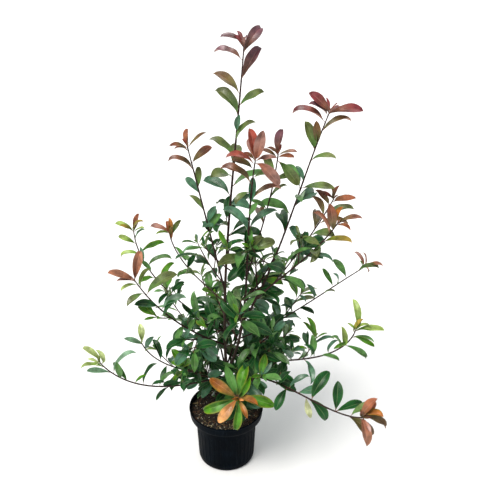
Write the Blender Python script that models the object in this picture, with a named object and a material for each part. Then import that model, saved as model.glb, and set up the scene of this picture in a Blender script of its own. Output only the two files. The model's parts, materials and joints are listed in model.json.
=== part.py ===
"""A red-leaved photinia shrub, about 1.15 m tall, in its black nursery pot.

Each limb is one tapering tube along a path that is worked out from its heading, turn and rise.
Where a bough's bare part ends its leafy mass begins: the path goes on as a three-sided stem, with
side twigs and leaves fused to it. Spurs are short leafy masses along the lower limbs.

Metres and degrees, +Z up. The origin is the middle of the pot's underside, and +Y points away
from the viewer.
"""

import random
from collections import namedtuple
from math import atan2, cos, degrees, hypot, pi, radians, sin, tau

import bmesh
import bpy
from mathutils import Vector
from mathutils.bvhtree import BVHTree

CLEARANCE = 0.0003
UP = Vector((0, 0, 1))

# The pot, a round three-litre container
POT_HEIGHT = 0.160
RIM_RADIUS = 0.095
COLLAR_DEPTH = 0.023
COLLAR_RADIUS = 0.093
NECK_DROP = 0.034
NECK_RADIUS = 0.079
FOOT_RADIUS = 0.0725
FOOT_ROUND = 0.008
FOOT_STEPS = 3
POT_WALL = 0.0022
RIM_WALL = 0.0030
POT_FLOOR = 0.003
POT_SIDES = 36
SMOOTH_UNDER = 35
DRAIN_HOLES = 6
DRAIN_SIDES = 8
DRAIN_RADIUS = 0.005
DRAIN_CIRCLE = 0.050

# The compost in it. Its sides stand at every second side of the pot, so that their corners line up.
SOIL_DROP = 0.012
SOIL_SIDES = POT_SIDES // 2
SOIL_FLAT_RADIUS = 0.018
SOIL_SAG = 0.003
SOIL_TOP = POT_HEIGHT - SOIL_DROP

# The short trunk, with its root flare
FORK_HEIGHT = 0.289
FORK_RADIUS = 0.0048
FLARE_RADIUS = 0.0105
FLARE_HEIGHT = 0.020
TRUNK_RISE = 89.6
TRUNK_SIDES = 8
TRUNK_STATIONS = (0, 0.03, 0.07, 0.14, 0.3, 0.55, 0.8, 1)

# Limbs and stems
PATH_STEPS = 40
LIMB_SIDES = 6
LIMB_SECTION = 0.034
STEM_SIDES = 3
STEM_SECTION = 0.026
THINNEST_STEM = 0.0015
TIP_THICKNESS = 0.0020
START_REACH = 0.030
START_STEP = 0.0001
GOLDEN_ANGLE = 137.5

# Leaves. The pairs run from a mass's foot to its tip, or from the least to the most.
LEAF_WIDTH = 0.42
LEAF_THICK = 0.0009
LEAF_ROOT = 0.0005
LEAF_SHOULDER = 0.34
LEAF_BROADEST = 0.68
SHOULDER_WIDTH = 0.62
KEEL_PLACE = 0.3
LEAF_SPREAD = (62, 36)
LEAF_ARCH = (56, 30)
LEAF_SIZES = (0.88, 1.10)
LEAF_WIDTHS = (0.90, 1.08)
TIP_LEAF = 0.88
LEAF_LIFT = 0.22
TURN_DRAW = 14
SPREAD_DRAW = 8
ARCH_DRAW = 14
ROLL_DRAW = 32
LEAF_ROOM = 0.00035
LEAF_TRIES = 7
LEAF_SWING = 17
CROWDING = 1.22

# Side twigs of a mass
TWIG_LENGTHS = (0.045, 0.065)
TWIG_THICKNESS = 0.0026
TWIG_BARE = 0.25
TWIG_RISES = (0, 12, 20)

# Spurs
SPUR_THICKNESS = 0.0034
SPUR_PACE = 0.0125

# A shoot starts at a share of its parent's length. Its heading goes from +X towards +Y, and turn
# is what it veers by along its length. rise is its climb at its start, middle and end, and
# thickness is the one at its foot. bare is the share of its length that is a bare limb, leaf the
# length of its leaves, pace the distance from one leaf to the next, and twigs how many side twigs.
Shoot = namedtuple(
    "Shoot",
    "name parent share heading turn rise length thickness bare leaf pace tint twigs seed",
    defaults=(0, 1),
)

BOUGHS = (
    Shoot("leader", "trunk", 1.00, 49, -10, (94, 84, 85), 0.810, 0.0080,
          bare=0.43, leaf=0.070, pace=0.021, tint="plum", seed=83),
    Shoot("centre_stem", "trunk", 0.86, 315, -15, (61, 86, 76), 0.630, 0.0078,
          bare=0.56, leaf=0.068, pace=0.018, tint="coral", seed=23),
    Shoot("inner_shoot", "centre_stem", 0.51, 28, -1, (72, 74, 84), 0.300, 0.0036,
          bare=0, leaf=0.056, pace=0.019, tint="coral", seed=76),
    Shoot("right_leader", "centre_stem", 0.295, 22, 13, (57, 69, 63), 0.538, 0.0060,
          bare=0.38, leaf=0.070, pace=0.020, tint="crimson", seed=67),
    Shoot("right_upper", "centre_stem", 0.36, 358, -2, (52, 45, 61), 0.312, 0.0050,
          bare=0.34, leaf=0.058, pace=0.016, tint="coral", twigs=1, seed=89),
    Shoot("right_twin", "right_upper", 0.32, 32, 1, (42, 46, 55), 0.240, 0.0034,
          bare=0, leaf=0.056, pace=0.018, tint="coral", seed=100),
    Shoot("right_thin", "centre_stem", 0.215, 37, 0, (-5, 10, 8), 0.425, 0.0036,
          bare=0.34, leaf=0.046, pace=0.021, tint="bronze", seed=96),
    Shoot("right_low", "trunk", 0.80, 349, -6, (45, 16, 80), 0.385, 0.0050,
          bare=0.30, leaf=0.056, pace=0.015, tint="lime", twigs=1, seed=83),
    Shoot("right_front", "trunk", 0.72, 328, -23, (40, 4, 38), 0.440, 0.0050,
          bare=0.30, leaf=0.068, pace=0.019, tint="bronze", seed=47),
    Shoot("left_front", "trunk", 0.67, 247, -66, (45, 19, 58), 0.415, 0.0044,
          bare=0.36, leaf=0.054, pace=0.018, tint="lime", seed=12),
    Shoot("left_middle", "leader", 0.08, 210, -1, (35, 48, 65), 0.345, 0.0046,
          bare=0.32, leaf=0.058, pace=0.017, tint="coral", twigs=1, seed=40),
    Shoot("left_second", "leader", 0.13, 161, 8, (24, 44, 89), 0.352, 0.0036,
          bare=0.34, leaf=0.055, pace=0.018, tint="lime", seed=84),
    Shoot("left_upper", "leader", 0.23, 138, 4, (23, 29, 79), 0.232, 0.0032,
          bare=0.30, leaf=0.055, pace=0.016, tint="lime", seed=117),
    Shoot("left_leader", "leader", 0.27, 199, 0, (78, 78, 78), 0.392, 0.0048,
          bare=0.38, leaf=0.064, pace=0.020, tint="rust", seed=61),
    Shoot("left_low", "trunk", 0.72, 184, 3, (17, 24, 72), 0.250, 0.0040,
          bare=0.30, leaf=0.058, pace=0.016, tint="lime", twigs=1, seed=120),
    Shoot("front_shoot", "trunk", 0.45, 283, 0, (34, 32, 22), 0.160, 0.0040,
          bare=0.62, leaf=0.076, pace=0.008, tint="lime", seed=56),
    Shoot("back_right", "trunk", 0.94, 74, -8, (20, 24, 44), 0.340, 0.0050,
          bare=0.30, leaf=0.060, pace=0.017, tint="green", twigs=2, seed=61),
    Shoot("back_left", "trunk", 0.84, 100, 8, (14, 18, 40), 0.320, 0.0048,
          bare=0.30, leaf=0.060, pace=0.017, tint="green", twigs=2, seed=33),
    Shoot("rear_right", "trunk", 0.76, 50, -6, (14, 18, 38), 0.315, 0.0042,
          bare=0, leaf=0.060, pace=0.019, tint="green", twigs=1, seed=60),
    Shoot("rear_left", "trunk", 0.90, 128, 6, (18, 22, 42), 0.275, 0.0042,
          bare=0, leaf=0.060, pace=0.018, tint="green", twigs=1, seed=119),
    Shoot("front_left", "trunk", 0.64, 222, 6, (36, 40, 52), 0.185, 0.0036,
          bare=0, leaf=0.058, pace=0.014, tint="green", twigs=1, seed=11),
    Shoot("front_right", "trunk", 0.58, 305, -4, (36, 38, 48), 0.205, 0.0036,
          bare=0, leaf=0.058, pace=0.014, tint="green", twigs=1, seed=96),
)

# Spurs stand round their host by the golden angle: how many, between which shares of the host, the
# first one's heading, and their rise, length, leaf, side twigs and seed.
SpurRow = namedtuple("SpurRow", "host count first last heading rise length leaf twigs seed")

SPUR_ROWS = (
    SpurRow("trunk", 3, 0.34, 0.54, 165, (20, 34, 45), 0.105, 0.058, 1, 115),
    SpurRow("leader", 5, 0.05, 0.37, 85, (30, 42, 55), 0.120, 0.060, 1, 67),
    SpurRow("centre_stem", 5, 0.10, 0.50, 350, (30, 42, 55), 0.125, 0.060, 1, 61),
    SpurRow("right_leader", 2, 0.15, 0.30, 95, (35, 45, 60), 0.110, 0.060, 1, 105),
    SpurRow("right_low", 1, 0.22, 0.22, 30, (30, 30, 35), 0.110, 0.058, 1, 105),
    SpurRow("right_front", 1, 0.20, 0.20, 10, (25, 30, 35), 0.110, 0.060, 1, 61),
    SpurRow("left_middle", 1, 0.20, 0.20, 245, (25, 30, 35), 0.110, 0.058, 1, 73),
)

# Base colour of each kind of surface
COLOURS = {
    "pot": (0.012, 0.013, 0.016),
    "soil": (0.030, 0.020, 0.014),
    "bark": (0.060, 0.032, 0.026),
    "green": (0.030, 0.110, 0.045),
    "lime": (0.220, 0.380, 0.050),
    "bronze": (0.260, 0.120, 0.060),
    "rust": (0.300, 0.100, 0.040),
    "coral": (0.520, 0.130, 0.060),
    "crimson": (0.330, 0.050, 0.040),
    "plum": (0.160, 0.060, 0.070),
}
ROUGHNESS = {"pot": 0.5, "soil": 0.95, "bark": 0.7}
LEAF_ROUGHNESS = 0.4


def mix(first, last, share):
    return first + (last - first) * share


def ease(values, share):
    """A value that runs through the first, the middle and the last of three."""
    first, middle, last = values
    return (
        first * (1 - share) * (1 - 2 * share)
        + middle * 4 * share * (1 - share)
        + last * share * (2 * share - 1)
    )


def aim(heading, rise):
    """The direction with this heading and rise, in degrees."""
    level = cos(radians(rise))
    return Vector(
        (level * cos(radians(heading)), level * sin(radians(heading)), sin(radians(rise)))
    )


def across(direction):
    """A level direction at right angles to this one."""
    side = direction.cross(UP)
    return side.normalized() if side.length > 1e-3 else Vector((1, 0, 0))


def square_to(vector, direction):
    """What is left of a vector at right angles to a direction, at length 1."""
    return (vector - vector.dot(direction) * direction).normalized()


class Path:
    """A shoot's centre line, in short steps of equal length, and its taper."""

    def __init__(self, start, heading, turn, rise, length, thick):
        self.length, self.thick = length, thick
        self.points = [Vector(start)]
        for k in range(PATH_STEPS):
            share = (k + 0.5) / PATH_STEPS
            step = aim(heading + turn * share, ease(rise, share)) * (length / PATH_STEPS)
            self.points.append(self.points[-1] + step)

    def spot(self, share):
        """The point and the direction at a share of the length."""
        place = min(max(share, 0), 1) * PATH_STEPS
        k = min(int(place), PATH_STEPS - 1)
        step = self.points[k + 1] - self.points[k]
        return self.points[k] + step * (place - k), step.normalized()

    def radius(self, share):
        return mix(*self.thick, share) / 2


def material(name):
    """The plain material of this name, made once."""
    made = bpy.data.materials.get(name)
    if made is None:
        made = bpy.data.materials.new(name)
        made.use_nodes = True
        shader = made.node_tree.nodes["Principled BSDF"]
        shader.inputs["Base Color"].default_value = (*COLOURS[name], 1)
        shader.inputs["Roughness"].default_value = ROUGHNESS.get(name, LEAF_ROUGHNESS)
    return made


def add_object(name, bm, material_name):
    """Closes a bmesh into a named object that carries one material."""
    mesh = bpy.data.meshes.new(name)
    bmesh.ops.recalc_face_normals(bm, faces=bm.faces)
    bm.to_mesh(mesh)
    bm.free()
    mesh.materials.append(material(material_name))
    made = bpy.data.objects.new(name, mesh)
    bpy.context.scene.collection.objects.link(made)
    return made


def turned(name, profile, sides, material_name):
    """A solid of revolution round Z from an outline that starts and ends on the axis."""
    bm = bmesh.new()
    verts = [bm.verts.new((r, 0, z)) for r, z in profile]
    edges = [bm.edges.new(pair) for pair in zip(verts, verts[1:])]
    bmesh.ops.spin(
        bm, geom=verts + edges, cent=(0, 0, 0), axis=UP, angle=tau, steps=sides, use_merge=True
    )
    bmesh.ops.remove_doubles(bm, verts=bm.verts, dist=1e-5)
    made = add_object(name, bm, material_name)
    made.data.shade_smooth()
    made.data.set_sharp_from_angle(angle=radians(SMOOTH_UNDER))
    return made


def make_pot():
    """The container: a deep collar over a tapering body, with drain holes in its floor."""
    neck = POT_HEIGHT - NECK_DROP
    collar = POT_HEIGHT - COLLAR_DEPTH
    angles = [pi / 2 * k / FOOT_STEPS for k in range(FOOT_STEPS + 1)]
    arc = [
        (FOOT_RADIUS - FOOT_ROUND * (1 - sin(a)), FOOT_ROUND * (1 - cos(a))) for a in angles
    ]
    outside = [(0, 0), *arc, (NECK_RADIUS, neck), (COLLAR_RADIUS, collar), (RIM_RADIUS, POT_HEIGHT)]
    inside = [
        (RIM_RADIUS - RIM_WALL, POT_HEIGHT),
        (COLLAR_RADIUS - RIM_WALL, collar),
        (NECK_RADIUS - POT_WALL, neck + POT_WALL),
        (FOOT_RADIUS - POT_WALL, POT_FLOOR + FOOT_ROUND),
        (FOOT_RADIUS - POT_WALL - FOOT_ROUND, POT_FLOOR),
        (0, POT_FLOOR),
    ]
    pot = turned("pot", outside + inside, POT_SIDES, "pot")
    for k in range(DRAIN_HOLES):
        angle = tau * (k + 0.5) / DRAIN_HOLES
        bpy.ops.mesh.primitive_cylinder_add(
            vertices=DRAIN_SIDES,
            radius=DRAIN_RADIUS,
            depth=4 * POT_FLOOR,
            location=(DRAIN_CIRCLE * cos(angle), DRAIN_CIRCLE * sin(angle), 0),
        )
        cutter = bpy.context.active_object
        cutter.name = f"drain_cutter_{k + 1}"
        cutter.hide_render = True
        cutter.display_type = "WIRE"
        cut = pot.modifiers.new(cutter.name, "BOOLEAN")
        cut.operation = "DIFFERENCE"
        cut.object = cutter
    return pot


def make_soil():
    """The compost: it fills the pot to below the rim, and is flat where the trunk stands."""
    neck = POT_HEIGHT - NECK_DROP + POT_WALL
    collar = POT_HEIGHT - COLLAR_DEPTH
    edge = SOIL_TOP - SOIL_SAG
    wall_at_edge = mix(COLLAR_RADIUS, RIM_RADIUS, (edge - collar) / COLLAR_DEPTH)
    outline = [
        (0, POT_FLOOR + CLEARANCE),
        (FOOT_RADIUS - POT_WALL - FOOT_ROUND - CLEARANCE, POT_FLOOR + CLEARANCE),
        (FOOT_RADIUS - POT_WALL - CLEARANCE, POT_FLOOR + FOOT_ROUND + CLEARANCE),
        (NECK_RADIUS - POT_WALL - CLEARANCE, neck + CLEARANCE),
        (COLLAR_RADIUS - RIM_WALL - CLEARANCE, collar + CLEARANCE),
        (wall_at_edge - RIM_WALL - CLEARANCE, edge),
        (SOIL_FLAT_RADIUS, SOIL_TOP),
        (0, SOIL_TOP),
    ]
    return turned("soil", outline, SOIL_SIDES, "soil")


def skin(bm, rings):
    """Joins rings of points, each with its own place along a limb, into a closed tube."""
    rows = [[bm.verts.new(point) for point in ring] for ring in rings]
    sides = len(rows[0])
    for low, high in zip(rows, rows[1:]):
        for i in range(sides):
            j = (i + 1) % sides
            bm.faces.new((low[i], low[j], high[j], high[i]))
    bm.faces.new(rows[0])
    bm.faces.new(rows[-1])
    bmesh.ops.triangulate(bm, faces=bm.faces)


def ring_round(centre, side, over, radius, sides):
    """Points round a centre, in the plane of two directions."""
    angles = [tau * i / sides for i in range(sides)]
    return [centre + radius * (cos(a) * side + sin(a) * over) for a in angles]


def tube_rings(path, first, last, section, sides, thinnest=0.0, room=0.0):
    """Rings of points round part of a path, about a section apart, and fatter by some room."""
    count = max(2, round((last - first) * path.length / section))
    side = None
    rings = []
    for k in range(count + 1):
        share = mix(first, last, k / count)
        centre, direction = path.spot(share)
        side = square_to(side, direction) if side else across(direction)
        radius = max(path.radius(share), thinnest) + room
        rings.append(ring_round(centre, side, direction.cross(side), radius, sides))
    return rings


def make_trunk():
    """The trunk, from the flat cut on the compost over its root flare to the fork."""
    foot = SOIL_TOP + CLEARANCE
    height = FORK_HEIGHT - foot
    path = Path((0, 0, foot), 0, 0, (TRUNK_RISE,) * 3, height, (2 * FORK_RADIUS,) * 2)
    rings = []
    for share in TRUNK_STATIONS:
        centre, _ = path.spot(share)
        centre.z = mix(foot, FORK_HEIGHT, share)
        flare = max(0, 1 - share * height / FLARE_HEIGHT)
        radius = FORK_RADIUS + (FLARE_RADIUS - FORK_RADIUS) * flare**2
        rings.append(ring_round(centre, Vector((1, 0, 0)), Vector((0, 1, 0)), radius, TRUNK_SIDES))
    bm = bmesh.new()
    skin(bm, rings)
    return add_object("trunk", bm, "bark"), path


def start_share(path, sides, thinnest, parent_tree):
    """How far along its path a shoot comes clear of its parent by the clearance."""
    room = CLEARANCE / cos(pi / sides)
    last = 2 * START_REACH / path.length
    for k in range(round(START_REACH / START_STEP)):
        reach = START_REACH - k * START_STEP
        first = (reach - CLEARANCE) / path.length
        bm = bmesh.new()
        skin(bm, tube_rings(path, first, last, START_REACH, sides, thinnest, room))
        tree = BVHTree.FromBMesh(bm)
        bm.free()
        if tree.overlap(parent_tree):
            break
    return (reach + START_STEP) / path.length


Leaf = namedtuple("Leaf", "root forward up length width bend")


def leaf_spot(leaf, reach, side=0.0):
    """A point of the blade: reach along its arched midrib, and side from it in metres."""
    angle = leaf.bend * reach
    run, drop = sin(angle) / leaf.bend, (1 - cos(angle)) / leaf.bend
    middle = leaf.root + leaf.length * (run * leaf.forward - drop * leaf.up)
    return middle + side * leaf.forward.cross(leaf.up)


def leaf_solid(leaf, room=0.0):
    """Points and triangles of a leaf: a keeled blade that narrows to a root inside the stem.
    room makes it that much fatter all round, to test for neighbours."""
    half = leaf.width / 2 + room
    blade = [
        leaf_spot(leaf, reach, sign * share * half) + leaf.up * room
        for reach, share in ((LEAF_SHOULDER, SHOULDER_WIDTH), (LEAF_BROADEST, 1.0))
        for sign in (1, -1)
    ]
    shoulder, broadest = (blade[0] + blade[1]) / 2, (blade[2] + blade[3]) / 2
    below = square_to(leaf.up, broadest - shoulder)
    points = [
        leaf.root - LEAF_ROOT * leaf.forward,
        *blade,
        leaf_spot(leaf, 1.0) + leaf.forward * room,
        mix(shoulder, broadest, KEEL_PLACE) - below * (LEAF_THICK + 2 * room),
    ]
    root, left, right, left_high, right_high, tip, keel = range(7)
    edge = (root, left, left_high, tip, right_high, right)
    triangles = [(keel, a, b) for a, b in zip(edge, edge[1:] + edge[:1])]
    triangles += [
        (root, right, left),
        (left, right, right_high),
        (left, right_high, left_high),
        (left_high, right_high, tip),
    ]
    return points, triangles


def either_way(draw, most):
    return draw.uniform(-most, most)


def leaf_on(shoot, path, share, climb, turn, draw):
    """The leaf at a share of a stem's path. climb runs from 0 at the mass's foot to 1 at its tip."""
    root, along = path.spot(share)
    side = across(along)
    turn = radians(turn + either_way(draw, TURN_DRAW))
    spread = radians(mix(*LEAF_SPREAD, climb) + either_way(draw, SPREAD_DRAW))
    roll = radians(either_way(draw, ROLL_DRAW))
    outward = cos(turn) * side + sin(turn) * side.cross(along)
    forward = (outward * sin(spread) + along * cos(spread) + UP * LEAF_LIFT).normalized()
    level = square_to(along + UP, forward)
    up = cos(roll) * level + sin(roll) * forward.cross(level)
    length = shoot.leaf * mix(1.0, TIP_LEAF, climb**4) * draw.uniform(*LEAF_SIZES)
    width = length * LEAF_WIDTH * draw.uniform(*LEAF_WIDTHS)
    arch = radians(mix(*LEAF_ARCH, climb) + either_way(draw, ARCH_DRAW))
    return Leaf(root, forward, up, length, width, arch)


def leaf_places(shoot, name, first, length):
    """Where leaves stand on a stem: each one's number, share of the path, climb and turn."""
    count = max(3, round((1 - first) * length / shoot.pace))
    phase = random.Random(f"{name} {shoot.seed}").uniform(0, 360)
    for k in range(count):
        climb = (k + 0.6) / count
        # they crowd together towards the tip
        share = mix(first, 1, climb * mix(CROWDING, 1, climb))
        yield k, min(share, 0.995), climb, phase + GOLDEN_ANGLE * k


def twig_paths(shoot, path, first):
    """The side twigs of a mass, each a short path with its own heading."""
    draw = random.Random(f"{shoot.name} twigs {shoot.seed}")
    phase = draw.uniform(0, 360)
    for k in range(shoot.twigs):
        root, along = path.spot(mix(first, 1, (k + 0.7) / (shoot.twigs + 1)))
        side = across(along)
        turn = radians(phase + GOLDEN_ANGLE * k)
        outward = cos(turn) * side + sin(turn) * side.cross(along)
        away = outward + along + UP * LEAF_LIFT
        heading = degrees(atan2(away.y, away.x))
        rise = degrees(atan2(away.z, hypot(away.x, away.y)))
        rises = [rise + more for more in TWIG_RISES]
        length = draw.uniform(*TWIG_LENGTHS)
        yield Path(root, heading, 0, rises, length, (TWIG_THICKNESS, TIP_THICKNESS))


def solid_tree(points, triangles):
    return BVHTree.FromPolygons([tuple(p) for p in points], triangles)


def object_tree(made):
    mesh = made.data
    mesh.calc_loop_triangles()
    return solid_tree(
        [v.co for v in mesh.vertices], [tuple(t.vertices) for t in mesh.loop_triangles]
    )


def clear_leaf(shoot, name, path, place, in_the_way):
    """The leaf at a place, swung a little aside where a neighbour is in its way, or None."""
    k, share, climb, turn = place
    for attempt in range(LEAF_TRIES):
        draw = random.Random(f"{name} {shoot.seed} {k} {attempt}")
        swing = LEAF_SWING * attempt * (-1) ** attempt
        leaf = leaf_on(shoot, path, share, climb, turn + swing, draw)
        tree = solid_tree(*leaf_solid(leaf, LEAF_ROOM))
        if not any(tree.overlap(other) for other in in_the_way):
            return leaf
    return None


def make_stem(name, path, first, last, tint):
    """A slim three-sided stem along part of a path."""
    bm = bmesh.new()
    skin(bm, tube_rings(path, first, last, STEM_SECTION, STEM_SIDES, THINNEST_STEM))
    return add_object(name, bm, tint)


def make_leaf(leaf):
    points, triangles = leaf_solid(leaf)
    mesh = bpy.data.meshes.new("leaf")
    mesh.from_pydata(points, [], triangles)
    return bpy.data.objects.new("leaf", mesh)


def dress_stem(made, shoot, path, first, neighbours):
    """Fuses side twigs and leaves to the stem of a mass, where nothing else is in their way."""
    parts = bpy.data.collections.new(f"{made.name}_parts")
    stems = [(shoot.name, path, first, neighbours[made.name])]
    away = [tree for other, tree in neighbours.items() if other != made.name]
    for k, twig in enumerate(twig_paths(shoot, path, first)):
        piece = make_stem(f"{made.name}_twig_{k}", twig, 0, 1, shoot.tint)
        bpy.context.scene.collection.objects.unlink(piece)
        tree = object_tree(piece)
        if any(tree.overlap(other) for other in away):
            bpy.data.objects.remove(piece)
            continue
        parts.objects.link(piece)
        stems.append((f"{shoot.name} twig {k}", twig, TWIG_BARE, tree))
    own_leaves = []
    for stem_name, stem_path, start, own_tree in stems:
        others = [tree for *_, tree in stems if tree is not own_tree]
        for place in leaf_places(shoot, stem_name, start, stem_path.length):
            leaf = clear_leaf(shoot, stem_name, stem_path, place, [*away, *others, *own_leaves])
            if leaf:
                own_leaves.append(solid_tree(*leaf_solid(leaf)))
                parts.objects.link(make_leaf(leaf))
    fuse(made, parts)
    neighbours[made.name] = object_tree(made)


def fuse(made, parts):
    """Joins a collection's solids to an object in one union, and removes them."""
    bpy.context.scene.collection.children.link(parts)
    for piece in parts.objects:
        bm = bmesh.new()
        bm.from_mesh(piece.data)
        bmesh.ops.recalc_face_normals(bm, faces=bm.faces)
        bm.to_mesh(piece.data)
        bm.free()
    union = made.modifiers.new("union", "BOOLEAN")
    union.operation = "UNION"
    union.operand_type = "COLLECTION"
    union.collection = parts
    union.solver = "EXACT"
    graph = bpy.context.evaluated_depsgraph_get()
    mesh = bpy.data.meshes.new_from_object(made.evaluated_get(graph))
    made.modifiers.clear()
    for piece in list(parts.objects):
        bpy.data.objects.remove(piece)
    bpy.data.collections.remove(parts)
    made.data = mesh
    keep_outer_shell(mesh)


def keep_outer_shell(mesh):
    """Drops the loose scraps and fills the sealed hollows that a union can leave."""
    bm = bmesh.new()
    bm.from_mesh(mesh)
    unseen = set(bm.verts)
    shells = []
    while unseen:
        shell, edge = set(), [unseen.pop()]
        while edge:
            vert = edge.pop()
            shell.add(vert)
            for link in vert.link_edges:
                other = link.other_vert(vert)
                if other in unseen:
                    unseen.remove(other)
                    edge.append(other)
        shells.append(shell)
    largest = max(shells, key=len)
    scraps = [vert for shell in shells if shell is not largest for vert in shell]
    bmesh.ops.delete(bm, geom=scraps, context="VERTS")
    bm.to_mesh(mesh)
    bm.free()


def spurs():
    """The spurs of every row, as shoots."""
    for row in SPUR_ROWS:
        for k in range(row.count):
            share = mix(row.first, row.last, k / max(1, row.count - 1))
            name = f"{row.host}_spur_{k + 1}"
            heading = row.heading + GOLDEN_ANGLE * k
            yield Shoot(name, row.host, share, heading, 0, row.rise, row.length, SPUR_THICKNESS,
                        bare=0, leaf=row.leaf, pace=SPUR_PACE, tint="green", twigs=row.twigs,
                        seed=row.seed)


def shoot_path(shoot, paths):
    parent = paths[shoot.parent]
    start, _ = parent.spot(shoot.share)
    thick = (shoot.thickness, TIP_THICKNESS)
    return Path(start, shoot.heading, shoot.turn, shoot.rise, shoot.length, thick)


def add_clear(made, neighbours):
    """Keeps a new limb or stem as a neighbour, once it is clear of the others."""
    tree = object_tree(made)
    for other, other_tree in neighbours.items():
        if tree.overlap(other_tree):
            raise ValueError(f"{made.name} runs into {other}")
    neighbours[made.name] = tree


def make_shrub(neighbours):
    """All limbs and stems first, so that every leaf and twig can keep clear of them."""
    trunk, trunk_path = make_trunk()
    add_clear(trunk, neighbours)
    paths = {"trunk": trunk_path}
    masses = []
    for shoot in (*BOUGHS, *spurs()):
        path = paths[shoot.name] = shoot_path(shoot, paths)
        parent_tree = neighbours[shoot.parent]
        if shoot.bare:
            begin = start_share(path, LIMB_SIDES, 0.0, parent_tree)
            bm = bmesh.new()
            skin(bm, tube_rings(path, begin, shoot.bare, LIMB_SECTION, LIMB_SIDES))
            add_clear(add_object(shoot.name, bm, "bark"), neighbours)
            begin = shoot.bare + CLEARANCE / path.length
        else:
            begin = start_share(path, STEM_SIDES, THINNEST_STEM, parent_tree)
        stem = make_stem(f"{shoot.name}_leaves", path, begin, 1, shoot.tint)
        add_clear(stem, neighbours)
        masses.append((stem, shoot, path, begin))
    for mass in masses:
        dress_stem(*mass, neighbours)


def main():
    for old in list(bpy.data.objects):
        bpy.data.objects.remove(old)
    make_shrub({"pot": object_tree(make_pot()), "soil": object_tree(make_soil())})


if __name__ == "__main__":
    main()
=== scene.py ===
"""The looks of a red-leaved photinia shrub in its black nursery pot.

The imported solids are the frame. Their limbs and leaves are found again by the rule that they were
built by, and each gets its own finer mesh: wood with bark on the limbs, and arched, folded leaves.
Many leaves of the photographed side are placed one by one instead, as the photograph shows them.
Metres, +Z up, and +Y away from the viewer.
"""

import json
import random
from collections import namedtuple
from math import atan2, ceil, cos, degrees, hypot, pi, radians, sin, tau

import bmesh
import bpy
import numpy as np
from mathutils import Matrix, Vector, noise
from mathutils.bvhtree import BVHTree
from mathutils.kdtree import KDTree

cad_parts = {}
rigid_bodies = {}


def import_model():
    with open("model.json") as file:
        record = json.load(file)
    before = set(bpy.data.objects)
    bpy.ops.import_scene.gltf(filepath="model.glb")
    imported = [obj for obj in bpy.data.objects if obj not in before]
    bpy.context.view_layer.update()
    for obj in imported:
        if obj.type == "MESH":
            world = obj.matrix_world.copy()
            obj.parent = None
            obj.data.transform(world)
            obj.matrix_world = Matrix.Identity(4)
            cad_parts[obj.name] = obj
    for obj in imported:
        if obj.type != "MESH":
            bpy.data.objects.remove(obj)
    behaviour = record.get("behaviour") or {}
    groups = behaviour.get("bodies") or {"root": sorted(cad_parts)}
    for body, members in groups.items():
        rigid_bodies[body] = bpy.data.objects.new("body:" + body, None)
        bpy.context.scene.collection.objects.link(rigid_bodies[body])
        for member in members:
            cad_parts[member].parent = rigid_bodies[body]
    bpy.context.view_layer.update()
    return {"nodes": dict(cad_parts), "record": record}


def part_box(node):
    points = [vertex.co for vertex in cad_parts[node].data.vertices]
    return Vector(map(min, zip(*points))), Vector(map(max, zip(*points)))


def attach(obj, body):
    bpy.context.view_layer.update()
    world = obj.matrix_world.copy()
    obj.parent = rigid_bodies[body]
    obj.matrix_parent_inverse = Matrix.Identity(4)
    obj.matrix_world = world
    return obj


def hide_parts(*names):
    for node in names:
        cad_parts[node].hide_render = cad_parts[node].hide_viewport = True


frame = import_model()

UP = Vector((0, 0, 1))
UPRIGHT = 1e-3
CLEARANCE = 0.0003

# The viewer's place, worked out from the ellipses of the pot's rim and foot
CAMERA_PLACE = (0.0357, -1.667, 1.563)
CAMERA_DOWN = 28.8
CAMERA_LENS = 62.1
SENSOR_WIDTH = 36

# The rule of the limbs and leaves, with the sizes that the solids were built by

FORK_HEIGHT = 0.289
FORK_RADIUS = 0.0048
FLARE_RADIUS = 0.0105
FLARE_HEIGHT = 0.020
TRUNK_RISE = 89.6
PATH_STEPS = 40
STEM_SIDES = 3
THINNEST_STEM = 0.0015
TIP_THICKNESS = 0.0020
START_REACH = 0.030
START_STEP = 0.0001
GOLDEN_ANGLE = 137.5
LEAF_WIDTH = 0.42
LEAF_SPREAD = (62, 36)
LEAF_ARCH = (56, 30)
LEAF_SIZES = (0.88, 1.10)
LEAF_WIDTHS = (0.90, 1.08)
TIP_LEAF = 0.88
LEAF_LIFT = 0.22
TURN_DRAW = 14
SPREAD_DRAW = 8
ARCH_DRAW = 14
ROLL_DRAW = 32
LEAF_TRIES = 7
LEAF_SWING = 17
CROWDING = 1.22
TWIG_LENGTHS = (0.045, 0.065)
TWIG_THICKNESS = 0.0026
TWIG_BARE = 0.25
TWIG_RISES = (0, 12, 20)
SPUR_THICKNESS = 0.0034
SPUR_PACE = 0.0125

# A shoot starts at a share of its parent's length. Its heading goes from +X towards +Y, and turn
# is what it veers by along its length. rise is its climb at its start, middle and end. tints runs
# from the leaves at the foot of its mass towards its tip, whose leaves draw theirs from tips. Below
# the first climb of sprigs and above the second, most leaves have a sprig of smaller ones.
Shoot = namedtuple(
    "Shoot",
    "name parent share heading turn rise length thickness bare leaf pace twigs seed tints tips sprigs",
    defaults=((0, 1),),
)

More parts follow.
